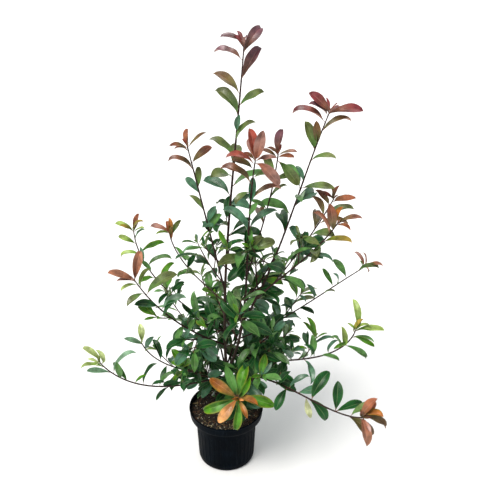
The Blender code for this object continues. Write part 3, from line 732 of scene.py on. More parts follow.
def leaf_group():
    """The pattern of a blade on its own UV map: midrib, side veins, margin, and patches of mottling with
    painted highlight and shade.
    """
    inputs = {
        "Blade": "NodeSocketColor", "Foot": "NodeSocketColor", "Vein": "NodeSocketColor",
        "Margin": "NodeSocketColor", "Petiole": "NodeSocketColor",
        "Vein Share": "NodeSocketFloat", "Margin Share": "NodeSocketFloat",
    }
    outputs = {"Color": "NodeSocketColor", "Height": "NodeSocketFloat", "Roughness": "NodeSocketFloat"}
    tree, given, result = new_group("leaf_blade", inputs, outputs)
    uv = tree.nodes.new("ShaderNodeTexCoord").outputs["UV"]
    parts = tree.nodes.new("ShaderNodeSeparateXYZ")
    tree.links.new(uv, parts.inputs[0])
    centred = math_node(tree, "SUBTRACT", parts.outputs["X"], 0.5)
    aside = math_node(tree, "MULTIPLY", math_node(tree, "ABSOLUTE", centred), 2.0)
    along = parts.outputs["Y"]
    midrib = ramp_between(tree, aside, *MIDRIB_EDGE, 1.0, 0.0)
    slanted = math_node(
        tree, "SUBTRACT",
        math_node(tree, "MULTIPLY", along, VEIN_PAIRS),
        math_node(tree, "MULTIPLY", aside, VEIN_SLANT),
    )
    in_gap = math_node(tree, "SUBTRACT", math_node(tree, "FRACT", slanted), 0.5)
    from_vein = math_node(tree, "ABSOLUTE", in_gap)
    side_vein = ramp_between(tree, from_vein, 0.0, SIDE_VEIN_WIDTH, 1.0, 0.0)
    veins = math_node(tree, "MAXIMUM", midrib, math_node(tree, "MULTIPLY", side_vein, SIDE_VEIN_DEPTH))
    place = object_place(tree)
    # Painted highlight and shade, with some mottling, in large patches across the crown
    shade = ramp_between(tree, noise_node(tree, place, *MOTTLE_AND_LIGHT_PATCHES), *MOTTLE_AND_LIGHT_RANGE, *MOTTLE_AND_LIGHT_SHADES)
    graded = mix_colour(
        tree, ramp_between(tree, along, *FOOT_FADE), given.outputs["Foot"], given.outputs["Blade"]
    )
    scaled = tree.nodes.new("ShaderNodeVectorMath")
    scaled.operation = "SCALE"
    tree.links.new(graded, scaled.inputs[0])
    tree.links.new(shade, scaled.inputs["Scale"])
    pores = noise_node(tree, place, *PORES)
    margin = ramp_between(tree, aside, *MARGIN_FADE)
    edge = math_node(tree, "MULTIPLY", margin, given.outputs["Margin Share"], clamp=True)
    edged = mix_colour(tree, edge, scaled.outputs["Vector"], given.outputs["Margin"])
    veined = math_node(tree, "MULTIPLY", veins, given.outputs["Vein Share"], clamp=True)
    blade = mix_colour(tree, veined, edged, given.outputs["Vein"])
    stalk = ramp_between(tree, along, PETIOLE, PETIOLE + STALK_FADE)
    tree.links.new(mix_colour(tree, stalk, given.outputs["Petiole"], blade), result.inputs["Color"])
    height = math_node(tree, "SUBTRACT", math_node(tree, "MULTIPLY", pores, PORE_DEPTH), veins)
    tree.links.new(height, result.inputs["Height"])
    roughness = ramp_between(tree, pores, *NOISE_RANGE, *BLADE_ROUGHNESS)
    tree.links.new(roughness, result.inputs["Roughness"])
    return tree


def new_material(name):
    made = bpy.data.materials.new(name)
    made.use_nodes = True
    return made, made.node_tree, made.node_tree.nodes["Principled BSDF"]


def bump_from(tree, shader, height, strength, distance):
    bump = tree.nodes.new("ShaderNodeBump")
    bump.inputs["Strength"].default_value = strength
    bump.inputs["Distance"].default_value = distance
    tree.links.new(height, bump.inputs["Height"])
    tree.links.new(bump.outputs["Normal"], shader.inputs["Normal"])


def patterned(name, group, values, relief, gloss=0.5):
    """A material whose colour, roughness and relief come from a pattern's group."""
    made, tree, shader = new_material(name)
    pattern = tree.nodes.new("ShaderNodeGroup")
    pattern.node_tree = group
    for socket, value in values.items():
        feed(tree, pattern.inputs[socket], value)
    tree.links.new(pattern.outputs["Color"], shader.inputs["Base Color"])
    tree.links.new(pattern.outputs["Roughness"], shader.inputs["Roughness"])
    shader.inputs["Specular IOR Level"].default_value = gloss
    bump_from(tree, shader, pattern.outputs["Height"], *relief)
    return made


def leaf_material(group, tint, under):
    """The upper or the under side of a leaf in this tint."""
    pale = PALE_GREEN if tint in GREENS else PALE_PINK
    paleness = UNDER_PALENESS if under else 0.0
    blade = blend_colours(TINTS[tint], pale, paleness)
    foot = blend_colours(TINTS[tint], TINTS[FOOT_OF.get(tint, tint)], FOOT_SHARE)
    values = {
        "Blade": blade, "Foot": blend_colours(foot, pale, paleness), "Petiole": PETIOLE_RED,
        "Vein": blend_colours(blade, pale, VEIN_PALENESS), "Margin": TINTS[MARGIN_OF.get(tint, tint)],
        "Vein Share": VEIN_SHARE, "Margin Share": MARGIN_SHARE,
    }
    gloss = UNDER_GLOSS if under else GLOSS.get(tint, USUAL_GLOSS)
    return patterned(f"{tint}_{'under' if under else 'upper'}", group, values, LEAF_RELIEF, gloss)


# The leaf, modelled once for each pattern and then laid along every leaf's own arch

LEAF_COLUMNS = 4
LEAF_ROWS = 13
PETIOLE = 0.08
PETIOLE_HALF = 0.012
BLADE_SWELL = 1.32
BLADE_FULLNESS = 0.86
BLADE_THICK = 0.006
ROW_POWER = 0.94
POINT_HALF = 0.004
FOLD_POWER = 1.3
RIPPLE_SHIFT = 2.1
DROOP_START = 0.7
DROOP_POWER = 1.5
SAME_PLACE = 1e-4

# fold is how deep the midrib lies, wave the ripple of the margins, tip the droop of the point
Pattern = namedtuple("Pattern", "name fold wave ripples tip swell")

PATTERNS = (
    Pattern("flat", 0.055, 0.005, 2.0, 0.22, 1.00),
    Pattern("folded", 0.110, 0.006, 3.0, 0.30, 0.96),
    Pattern("rippled", 0.080, 0.015, 2.6, 0.42, 1.00),
    Pattern("broad", 0.060, 0.010, 1.6, 0.35, 1.10),
    Pattern("curled", 0.095, 0.012, 2.2, 0.60, 0.92),
)


def deselect_all():
    bpy.ops.object.select_all(action="DESELECT")


def select_where(piece, chosen):
    """In edit mode, selects the corners for which chosen(place) holds."""
    bm = bmesh.from_edit_mesh(piece.data)
    for vert in bm.verts:
        vert.select_set(bool(chosen(vert.co)))
    bm.select_flush_mode()
    bmesh.update_edit_mesh(piece.data)


def apply_modifier(piece, kind, **values):
    bpy.context.view_layer.objects.active = piece
    bpy.ops.object.modifier_add(type=kind)
    modifier = piece.modifiers[-1]
    for key, value in values.items():
        setattr(modifier, key, value)
    bpy.ops.object.modifier_apply(modifier=modifier.name)


def blade_half(reach):
    """Half the width of the leaf at a reach from its root, both in leaf lengths."""
    if reach <= PETIOLE:
        return PETIOLE_HALF
    share = (reach - PETIOLE) / (1 - PETIOLE)
    return PETIOLE_HALF + LEAF_WIDTH / 2 * sin(pi * share**BLADE_SWELL) ** BLADE_FULLNESS


def model_leaf(pattern):
    """A leaf one unit long, along +Y with its face up, its petiole at the origin."""
    deselect_all()
    bpy.ops.mesh.primitive_grid_add(
        x_subdivisions=LEAF_COLUMNS, y_subdivisions=LEAF_ROWS, size=1, location=(0, 0.5, 0)
    )
    piece = bpy.context.active_object
    bpy.ops.object.transform_apply(location=True)
    piece.name = f"leaf_{pattern.name}"
    bpy.ops.object.mode_set(mode="EDIT")
    for k in range(LEAF_ROWS + 1):
        old = k / LEAF_ROWS
        reach = 0 if k == 0 else mix(PETIOLE, 1, ((k - 1) / (LEAF_ROWS - 1)) ** ROW_POWER)
        half = blade_half(reach) * (pattern.swell if reach > PETIOLE else 1)
        half = POINT_HALF if k == LEAF_ROWS else half
        select_where(piece, lambda place: abs(place.y - old) < SAME_PLACE)
        bpy.ops.transform.resize(value=(2 * half, 1, 1))
        bpy.ops.transform.translate(value=(0, reach - old, 0))
    bpy.ops.object.mode_set(mode="OBJECT")
    for vert in piece.data.vertices:
        x, y, _ = vert.co
        half = max(blade_half(y), PETIOLE_HALF)
        share = min(1, abs(x) / half)
        lift = pattern.fold * min(1, half / (LEAF_WIDTH / 4)) * share**FOLD_POWER
        phase = tau * pattern.ripples * y + (RIPPLE_SHIFT if x > 0 else 0)
        ripple = pattern.wave * sin(phase) * share**2
        droop = pattern.tip * max(0, y - DROOP_START) ** DROOP_POWER
        vert.co.z = (lift + ripple) * min(1, half / (2 * PETIOLE_HALF)) - droop
    piece.data.materials.append(None)
    piece.data.materials.append(None)
    apply_modifier(
        piece, "SOLIDIFY", thickness=BLADE_THICK, offset=-1, material_offset=1, use_rim=True
    )
    return piece


Shape = namedtuple("Shape", "corners faces sides uvs")


def read_shape(piece):
    """A modelled piece as arrays, after which the piece itself goes."""
    mesh = piece.data
    corners = np.array([v.co for v in mesh.vertices])
    faces = [tuple(p.vertices) for p in mesh.polygons]
    sides = [p.material_index for p in mesh.polygons]
    uvs = np.array([tuple(d.uv) for d in mesh.uv_layers.active.data]) if mesh.uv_layers else None
    bpy.data.objects.remove(piece)
    return Shape(corners, faces, sides, uvs)


# Edges that turn by less than these, in degrees, are smooth
SMALL_UNDER = 38
WOOD_UNDER = 60
POT_UNDER = 32
COMPOST_UNDER = 50

TWIST_REACH = 0.5
LIGHT_FROM = Vector((-0.45, -0.62, 0.64))
LIGHT_PULL = 0.32
MOST_TWIST = 42
TWIST_DRAW = 26


def twist_of(borne, draw):
    """How far a leaf's blade turns about its own line towards the light."""
    leaf = borne.leaf
    if borne.tint:
        return radians(either_way(draw, SHOWN_TWIST))
    side = leaf.forward.cross(leaf.up)
    off = -degrees(atan2(LIGHT_FROM.dot(side), LIGHT_FROM.dot(leaf.up)))
    pulled = min(max(LIGHT_PULL * off, -MOST_TWIST), MOST_TWIST)
    return radians(pulled + either_way(draw, TWIST_DRAW))


def lay_leaf(leaf, shape, twist):
    """The corners of a modelled leaf, laid along this leaf's arch and twisted towards its tip."""
    reach = shape.corners[:, 1]
    x = shape.corners[:, 0] * leaf.width / LEAF_WIDTH
    z = shape.corners[:, 2] * leaf.length
    turn = twist * np.clip(reach / TWIST_REACH, 0, 1)
    x, z = x * np.cos(turn) - z * np.sin(turn), x * np.sin(turn) + z * np.cos(turn)
    angle = leaf.bend * reach
    run, drop = np.sin(angle) / leaf.bend, (1 - np.cos(angle)) / leaf.bend
    forward, up, root = np.array(leaf.forward), np.array(leaf.up), np.array(leaf.root)
    side = np.cross(forward, up)
    normal = np.outer(np.sin(angle), forward) + np.outer(np.cos(angle), up)
    middle = root + leaf.length * (np.outer(run, forward) - np.outer(drop, up))
    return middle + np.outer(x, side) + normal * z[:, None]


def joined_piece(name, parts, materials):
    """One mesh from many laid shapes. A part is its corners, its shape and each face's material."""
    corners, faces, indices, uvs, count = [], [], [], [], 0
    for places, shape, slots in parts:
        corners.append(places)
        faces += [tuple(i + count for i in face) for face in shape.faces]
        indices += [slots[side] for side in shape.sides]
        uvs.append(shape.uvs)
        count += len(places)
    mesh = bpy.data.meshes.new(name)
    mesh.from_pydata(np.concatenate(corners).tolist(), [], faces)
    for material in materials:
        mesh.materials.append(material)
    mesh.polygons.foreach_set("material_index", indices)
    layer = mesh.uv_layers.new(name="leaf")
    layer.data.foreach_set("uv", np.concatenate(uvs).ravel())
    piece = bpy.data.objects.new(name, mesh)
    bpy.context.scene.collection.objects.link(piece)
    return smooth(piece, SMALL_UNDER)


def make_active(piece):
    deselect_all()
    piece.select_set(True)
    bpy.context.view_layer.objects.active = piece


def smooth(piece, most_angle):
    make_active(piece)
    bpy.ops.object.shade_smooth_by_angle(angle=radians(most_angle))
    piece.select_set(False)
    return piece


TIP_CLIMB = 0.80
TWIG_CLIMB = 0.6
TINT_DRAW = 0.09


def tint_of(borne):
    """The tint of a leaf, by how far up its shoot it stands."""
    if borne.tint:
        return borne.tint
    draw = random.Random(f"tint {borne.stem} {borne.number} {borne.leaf.root.z:.4f}")
    climb = borne.climb * (TWIG_CLIMB if "twig" in borne.stem else 1)
    if climb > TIP_CLIMB:
        return draw.choice(borne.shoot.tips.split())
    tints = borne.shoot.tints.split()
    place = (climb / TIP_CLIMB + either_way(draw, TINT_DRAW)) * len(tints)
    return tints[min(max(int(place), 0), len(tints) - 1)]


# Young leaves at the very tip of each strand

YOUNG_SIZES = ((0.70, 48), (0.58, 38), (0.46, 27), (0.32, 16), (0.20, 6))
YOUNG_WIDTH = 0.30
YOUNG_PLACE = 0.985
YOUNG_DRAW = 5
YOUNG_LEAN = 0.2
YOUNG_LENGTHS = (0.85, 1.15)
YOUNG_BEND = 26
YOUNG_BEND_DRAW = 14


def young_leaves(strand):
    """The small upright leaves at a strand's tip, shares of the length of its others."""
    root, along = strand.path.spot(YOUNG_PLACE)
    draw = random.Random(f"young {strand.shoot.name} {strand.kind} {root.x:.4f}")
    phase = draw.uniform(0, 360)
    for k, (size, spread) in enumerate(YOUNG_SIZES):
        spread = radians(spread + either_way(draw, YOUNG_DRAW))
        outward = outward_at(radians(phase + GOLDEN_ANGLE * k), along)
        forward = outward * sin(spread) + along * cos(spread)
        up = square_to(along - outward * YOUNG_LEAN, forward)
        length = strand.shoot.leaf * size * draw.uniform(*YOUNG_LENGTHS)
        bend = radians(YOUNG_BEND + either_way(draw, YOUNG_BEND_DRAW))
        leaf = Leaf(root, forward, up, length, length * YOUNG_WIDTH, bend)
        stem = f"young {strand.shoot.name}" + (" twig" if strand.kind == "twig" else "")
        yield Borne(leaf, 1.0, strand.shoot, stem, k, along)


# Sprigs: the finer growth in the axils of the leaves, no further out than they reach

SPRIG_LENGTHS = (0.016, 0.030)
SPRIG_THICKNESS = (0.0018, 0.0012)
SPRIG_CHANCE = 0.7
TUFT_CHANCE = 0.3
SPRIG_CLIMB = 0.55
SPRIG_LEAF = 0.74
SPRIG_PACE = 0.0085
SPRIG_LOWEST = 0.185
SPRIG_AHEAD = (0.2, 0.9)
SPRIG_LIFTS = (-0.3, 0.5)
SPRIG_SWING = 35
SPRIG_BARE = 0.2


def sprigs_of(leaves):
    """Short twigs with three or so small leaves each: the strands by name, and the leaves."""
    strands, small = {}, []
    for borne in leaves:
        shoot, leaf = borne.shoot, borne.leaf
        name = f"{borne.stem} sprig {borne.number}"
        draw = random.Random(name)
        foot, tip = shoot.sprigs
        bare = borne.tint or foot < borne.climb < tip or leaf.root.z < SPRIG_LOWEST
        if bare or draw.random() > (TUFT_CHANCE if borne.climb > tip else SPRIG_CHANCE):
            continue
        ahead = borne.along * draw.uniform(*SPRIG_AHEAD)
        heading, rise = heading_and_rise(leaf.forward + ahead + UP * draw.uniform(*SPRIG_LIFTS))
        heading += either_way(draw, SPRIG_SWING)
        path = Path(leaf.root, heading, 0, (rise,) * 3, draw.uniform(*SPRIG_LENGTHS), SPRIG_THICKNESS)
        finer = shoot._replace(leaf=shoot.leaf * SPRIG_LEAF, pace=SPRIG_PACE)
        strands[name] = Strand(path, finer, "sprig")
        for k, share, climb, turn in leaf_places(finer, name, SPRIG_BARE, path.length):
            grown = leaf_on(finer, path, share, climb, turn, draw)
            place = borne.climb * (1 if borne.climb > tip else SPRIG_CLIMB)
            small.append(Borne(grown, place, shoot, name, k, borne.along))
    return strands, small


# The photographed side shows its boughs, and sky through the crown: what would hide them is left out

OPEN_BOUGHS = ("leader", "centre_stem", "right_leader", "left_leader", "right_upper", "left_middle")
OPEN_SHARES = (0.06, 0.9)
OPEN_WIDTH = 0.015
OPEN_STEPS = 48
# Where the sky shows, in pixels of the 480-pixel picture
SKY = (
    (218, 132), (324, 174), (213, 179), (293, 224), (267, 232), (190, 238), (218, 238), (241, 249),
    (284, 252), (201, 272), (258, 272), (310, 272), (158, 289), (201, 289), (180, 309), (153, 323),
    (193, 343), (153, 346), (161, 372), (198, 243), (206, 294), (259, 239), (287, 211), (302, 229),
    (270, 249), (256, 260), (235, 286), (302, 283), (295, 371),
)
SKY_RADIUS = 9
PICTURE = 480
LEAF_MIDDLE = 0.6


def sight_lines(strands):
    """From the camera to points along the boughs that the photograph shows: directions, lengths."""
    eye = Vector(CAMERA_PLACE)
    for strand in strands:
        if strand.shoot.name in OPEN_BOUGHS and strand.kind == "bough":
            for k in range(OPEN_STEPS):
                away = strand.path.spot(mix(*OPEN_SHARES, k / OPEN_STEPS))[0] - eye
                yield away.normalized(), away.length


def hides_bough(leaf, lines):
    middle = leaf.root.lerp(leaf_tip(leaf), LEAF_MIDDLE) - Vector(CAMERA_PLACE)
    for direction, length in lines:
        near = middle.dot(direction)
        if near < length and (middle - near * direction).length < OPEN_WIDTH:
            return True
    return False


def hides_sky(leaf):
    view = aim(90, -CAMERA_DOWN)
    middle = leaf.root.lerp(leaf_tip(leaf), LEAF_MIDDLE) - Vector(CAMERA_PLACE)
    scale = PICTURE * CAMERA_LENS / SENSOR_WIDTH / middle.dot(view)
    x, y = PICTURE / 2 + scale * middle.x, PICTURE / 2 - scale * middle.dot(square_to(UP, view))
    return any(hypot(x - gap[0], y - gap[1]) < SKY_RADIUS for gap in SKY)


def inner(borne):
    return "_spur_" in borne.stem or "sprig" in borne.stem or "twig" in borne.stem


def opened(leaves, strands):
    lines = list(sight_lines(strands))
    seen = [b for b in leaves if b.tint or not hides_sky(b.leaf)]
    return [b for b in seen if not (inner(b) and hides_bough(b.leaf, lines))]


def make_leaves(leaves, strands, small):
    """The leaves, joined by the slot of the masses that they replace, and those of the sprigs."""
    group = leaf_group()
    shapes = [read_shape(model_leaf(pattern)) for pattern in PATTERNS]
    made = {}
    slot_of = {row["node"]: row["material_slot"] for row in frame["record"]["subparts"]}
    young = [leaf for strand in strands for leaf in young_leaves(strand)]
    for slot in sorted({slot_of[f"{borne.shoot.name}_leaves"] for borne in leaves}):
        mine = [b for b in (*leaves, *young) if slot_of[f"{b.shoot.name}_leaves"] == slot]
        piece = leaf_piece(f"leaves_{slot}", mine, shapes, group, made)
        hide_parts(*sorted({f"{borne.shoot.name}_leaves" for borne in mine}))
    leaf_piece("leaves_of_sprigs", small, shapes, group, made)


def leaf_piece(name, mine, shapes, group, made):
    parts, materials = [], []
    for borne in mine:
        draw = random.Random(f"shape {borne.stem} {borne.number} {borne.leaf.root.z:.4f}")
        tint = tint_of(borne)
        for under in (False, True):
            if (tint, under) not in made:
                made[tint, under] = leaf_material(group, tint, under)
            if made[tint, under] not in materials:
                materials.append(made[tint, under])
        slots = [materials.index(made[tint, under]) for under in (False, True)]
        shape = shapes[draw.randrange(len(shapes))]
        longer, slimmer = habit_of(borne.shoot)
        leaf = borne.leaf
        leaf = leaf._replace(length=leaf.length * longer, width=leaf.width * slimmer)
        parts.append((lay_leaf(leaf, shape, twist_of(borne, draw)), shape, slots))
    piece = joined_piece(name, parts, materials)
    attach(piece, "root")
    return piece


# Wood: one piece for each bough, and the thin stems together

RING_STEP = 0.004
COLLAR_REACH = 0.006
COLLAR_SWELL = 0.45
JOINT_SWELL = 0.16
JOINT_LENGTH = 0.0022
WOOD_ROUNDNESS = 3
TWIG_ROUNDNESS = 1
BARK_RELIEF = 0.00045
TIP_TAPER = 0.85
STOUTNESS = 1.55
TAPER_POWER = 0.95
LEAST_TAPER = 0.3
TIP_START = 0.85
OLD_RADIUS = 0.0040
BARK_CELL = 0.0045
BARK_OCTAVES = 3


def strand_points(strand, joints):
    """Points and radii along a strand: swollen where it leaves its parent and below each leaf."""
    path = strand.path
    count = ceil(path.length / RING_STEP)
    for k in range(count + 1):
        share = k / count
        place, _ = path.spot(share)
        reach = share * path.length
        first, last = path.thick
        radius = mix(first, max(last * STOUTNESS, LEAST_TAPER * first), share**TAPER_POWER) / 2
        radius *= mix(1, TIP_TAPER, max(0, share - TIP_START) / (1 - TIP_START))
        radius *= 1 + COLLAR_SWELL * max(0, 1 - reach / COLLAR_REACH) ** 2
        near = min((abs(reach - joint) for joint in joints), default=1)
        radius *= 1 + JOINT_SWELL * max(0, 1 - near / JOINT_LENGTH)
        yield place, radius


def trunk_points(trunk):
    count = ceil(trunk.length / RING_STEP)
    for k in range(count + 1):
        place, _ = trunk.spot(k / count)
        flare = max(0, 1 - k / count * trunk.length / FLARE_HEIGHT)
        yield place, FORK_RADIUS + (FLARE_RADIUS - FORK_RADIUS) * flare**2


def wood_piece(name, lines, roundness, relief):
    """A bevelled curve for each line of points and radii, made one mesh with the bark's relief."""
    curve = bpy.data.curves.new(name, "CURVE")
    curve.dimensions = "3D"
    curve.bevel_depth = 1.0
    curve.bevel_resolution = roundness
    curve.use_fill_caps = True
    ages, centres = [], []
    for line in lines:
        line = list(line)
        spline = curve.splines.new("POLY")
        spline.points.add(len(line) - 1)
        for point, (place, radius) in zip(spline.points, line):
            point.co = (*place, 1)
            point.radius = radius
            centres.append(place)
            ages.append(1 - min(1, radius / OLD_RADIUS))
    piece = bpy.data.objects.new(name, curve)
    bpy.context.scene.collection.objects.link(piece)
    make_active(piece)
    bpy.ops.object.convert(target="MESH")
    piece = bpy.context.active_object
    if relief:
        bark = bpy.data.textures.new(f"{name}_relief", "CLOUDS")
        bark.noise_scale = BARK_CELL
        bark.noise_depth = BARK_OCTAVES
        apply_modifier(
            piece, "DISPLACE", texture=bark, texture_coords="LOCAL", strength=relief, mid_level=0.5
        )
    tree = tree_of(centres)
    youth = piece.data.attributes.new("youth", "FLOAT", "POINT")
    youth.data.foreach_set("value", [ages[tree.find(v.co)[1]] for v in piece.data.vertices])
    return smooth(piece, WOOD_UNDER)


BARK_OLD = (0.022, 0.013, 0.010)
BARK_PALE = (0.080, 0.052, 0.038)
BARK_YOUNG = (0.032, 0.011, 0.009)
BARK_TIP = (0.078, 0.028, 0.016)
BARK_SQUEEZE = 0.35
STREAKS = (900.0, 4.0, 0.65)
SPECKS = (1400.0, 1.0)
SPECK_RANGE = (0.66, 0.74)
SPECK_SHARE = 0.5
TIP_YOUTH = (0.58, 0.85)
OLD_YOUTH = (0.05, 0.35)
BARK_ROUGHNESS = (0.5, 0.8)
BARK_GLOSS = 0.2
BARK_BUMP = (0.6, 0.0006)


def bark_material():
    """Grey-brown and cracked on old wood, dark red on young wood, with pale specks."""
    made, tree, shader = new_material("bark")
    attribute = tree.nodes.new("ShaderNodeAttribute")
    attribute.attribute_name = "youth"
    youth = attribute.outputs["Fac"]
    streaks = noise_node(tree, squeezed_place(tree, BARK_SQUEEZE), *STREAKS)
    old = mix_colour(tree, ramp_between(tree, streaks, 0.35, 0.7), BARK_OLD, BARK_PALE)
    young = mix_colour(tree, ramp_between(tree, streaks, 0.3, 0.8), BARK_YOUNG, BARK_OLD)
    tip = mix_colour(tree, ramp_between(tree, youth, *TIP_YOUTH), young, BARK_TIP)
    aged = mix_colour(tree, ramp_between(tree, youth, *OLD_YOUTH), old, tip)
    specks = noise_node(tree, object_place(tree), *SPECKS)
    speck = ramp_between(tree, specks, *SPECK_RANGE, 0.0, SPECK_SHARE)
    tree.links.new(mix_colour(tree, speck, aged, BARK_PALE), shader.inputs["Base Color"])
    roughness = ramp_between(tree, streaks, *NOISE_RANGE, *BARK_ROUGHNESS)
    tree.links.new(roughness, shader.inputs["Roughness"])
    shader.inputs["Specular IOR Level"].default_value = BARK_GLOSS
    bump_from(tree, shader, streaks, *BARK_BUMP)
    return made


def make_wood(trunk, strands, leaves):
    """The trunk and each bough as a piece, and all thinner stems together."""
    bark = bark_material()
    joints = {}
    for borne in leaves:
        joints.setdefault(borne.stem, []).append(borne.leaf.root)
    pieces = [("trunk_wood", [trunk_points(trunk)], ["trunk"])]
    thin = []
    for strand in strands:
        roots = joints.get(strand.shoot.name, []) if strand.kind in ("bough", "spur") else []
        start = strand.path.points[0]
        reaches = [(root - start).length for root in roots]
        line = strand_points(strand, reaches)
        if strand.kind == "bough" and strand.shoot.bare:
            pieces.append((f"{strand.shoot.name}_wood", [line], [strand.shoot.name]))
        else:
            thin.append(line)
    for name, lines, nodes in pieces:
        piece = wood_piece(name, lines, WOOD_ROUNDNESS, BARK_RELIEF)
        piece.data.materials.append(bark)
        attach(piece, "root")
        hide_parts(*nodes)
    twigs = wood_piece("twigs", thin, TWIG_ROUNDNESS, 0)
    twigs.data.materials.append(bark)
    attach(twigs, "root")


# The pot

POT_SIDES = 144
LIP_ROUND = 0.0009
FLUTES = 36
FLUTE_DEPTH = 0.0007
FLUTE_EDGE = 0.0007
FLUTE_FOOT = 0.019
FLUTE_TOP = 0.108


def ring_up(radius, height, ratio):
    """Extrudes the selected ring to another height and radius."""
    bpy.ops.mesh.extrude_edges_move(TRANSFORM_OT_translate={"value": (0, 0, height)})
    bpy.ops.transform.resize(value=(ratio, ratio, 1))
    return radius * ratio


def make_pot():
    """The container, drawn up ring by ring from its foot, over the lip and down inside."""
    low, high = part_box("pot")
    rim, height = high.x, high.z
    outside = (
        (0.0645, 0.0), (0.0685, 0.0011), (0.0712, 0.0040), (0.0725, 0.0080),
        (0.0732, 0.0190), (0.0766, 0.0960), (0.0779, 0.1080), (0.0786, 0.1225), (0.0790, 0.1260),
        (0.0880, 0.1330), (0.0915, 0.1350), (0.0926, 0.1372), (0.0932, 0.1400),
        (0.0938, 0.1500), (0.0941, 0.1540), (rim - 0.0003, 0.1548), (rim, 0.1560),
        (rim, height - 2 * LIP_ROUND), (rim - LIP_ROUND * 0.3, height - LIP_ROUND * 0.6),
        (rim - LIP_ROUND, height),
    )
    inside = (
        (rim - 0.0024, height), (rim - 0.0030, height - LIP_ROUND), (0.0903, 0.1400),
        (0.0760, 0.1270), (0.0702, 0.0110), (0.0620, 0.0032), (0.0200, 0.0030),
    )
    deselect_all()
    bpy.ops.mesh.primitive_circle_add(
        vertices=POT_SIDES, radius=outside[0][0], fill_type="NGON", location=(0, 0, low.z)
    )
    piece = bpy.context.active_object
    piece.name = "pot_shell"
    bpy.ops.object.transform_apply(location=True)
    bpy.ops.object.mode_set(mode="EDIT")
    bpy.ops.mesh.select_mode(type="EDGE")
    bpy.ops.mesh.select_all(action="SELECT")
    radius, level = outside[0]
    for wide, high_up in (*outside[1:], *inside):
        radius = ring_up(radius, high_up - level, wide / radius)
        level = high_up
    bpy.ops.mesh.edge_face_add()
    bpy.ops.mesh.select_all(action="SELECT")
    bpy.ops.mesh.normals_make_consistent(inside=False)
    bpy.ops.mesh.select_mode(type="FACE")
    flute_body(piece)
    bpy.ops.object.mode_set(mode="OBJECT")
    piece.data.materials.append(plastic_material())
    smooth(piece, POT_UNDER)
    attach(piece, "root")
    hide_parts("pot")


def flute_body(piece):
    """Sinks shallow upright panels into the body between its foot and its neck."""
    bm = bmesh.from_edit_mesh(piece.data)
    for face in bm.faces:
        middle = face.calc_center_median()
        outer = face.normal.x * middle.x + face.normal.y * middle.y > 0
        turn = (atan2(middle.y, middle.x) / tau * FLUTES) % 1
        tall = FLUTE_FOOT < middle.z < FLUTE_TOP and outer
        face.select_set(tall and turn > 0.5)
    bmesh.update_edit_mesh(piece.data)
    bpy.ops.mesh.inset(thickness=FLUTE_EDGE, depth=-FLUTE_DEPTH, use_individual=False)


PLASTIC = (0.0004, 0.0010, 0.0022)
PLASTIC_DUSTY = (0.003, 0.006, 0.010)
# Pale bluish-grey upright streaks: partly scuffs, partly painted sheen
PLASTIC_SCUFF_AND_SHEEN = (0.014, 0.020, 0.027)
PLASTIC_GLOSS = 0.03
PLASTIC_SHEEN = (0.55, 0.80, 1.0)
PLASTIC_ROUGHNESS = (0.42, 0.60)
PLASTIC_BUMP = (0.12, 0.0003)
DUST = (26.0, 5.0, 0.6)
DUST_SHARE = 0.6
GRAIN = (1900.0, 2.0)
SCUFF_AND_SHEEN_NOISE = (420.0, 3.0, 0.7)
SCUFF_AND_SHEEN_RANGE = (0.56, 0.72)
SCUFF_AND_SHEEN_SQUEEZE = 0.06


def plastic_material():
    """Black moulded plastic with a dull grey sheen, dusty in places, with pale upright streaks of scuffs
    and painted sheen.
    """
    made, tree, shader = new_material("pot_plastic")
    place = object_place(tree)
    dust = noise_node(tree, place, *DUST)
    scuff_and_sheen_noise = noise_node(tree, squeezed_place(tree, SCUFF_AND_SHEEN_SQUEEZE), *SCUFF_AND_SHEEN_NOISE)
    # Where the streaks lie: partly scuffs, partly painted sheen
    scuffs_and_painted_sheen = math_node(
        tree, "MULTIPLY", ramp_between(tree, scuff_and_sheen_noise, *SCUFF_AND_SHEEN_RANGE), ramp_between(tree, dust, 0.4, 0.7)
    )
    dustiness = ramp_between(tree, dust, 0.35, 0.8, 0.0, DUST_SHARE)
    dusty = mix_colour(tree, dustiness, PLASTIC, PLASTIC_DUSTY)
    tree.links.new(mix_colour(tree, scuffs_and_painted_sheen, dusty, PLASTIC_SCUFF_AND_SHEEN), shader.inputs["Base Color"])
    shader.inputs["Specular IOR Level"].default_value = PLASTIC_GLOSS
    shader.inputs["Specular Tint"].default_value = (*PLASTIC_SHEEN, 1)
    tree.links.new(ramp_between(tree, dust, 0.3, 0.8, *PLASTIC_ROUGHNESS), shader.inputs["Roughness"])
    bump_from(tree, shader, noise_node(tree, place, *GRAIN), *PLASTIC_BUMP)
    return made


# The compost, with its crumbs

# Each kind's darkest and palest colour
COMPOST_COLOURS = {
    "compost": ((0.010, 0.007, 0.005), (0.036, 0.023, 0.015)),
    "chip_dark": ((0.008, 0.005, 0.004), (0.028, 0.017, 0.011)),
    "chip_brown": ((0.022, 0.012, 0.007), (0.070, 0.038, 0.020)),
    "chip_red": ((0.060, 0.024, 0.011), (0.130, 0.060, 0.028)),
    "straw": ((0.260, 0.180, 0.070), (0.460, 0.350, 0.180)),
    "flake": ((0.480, 0.430, 0.330), (0.640, 0.600, 0.480)),
}
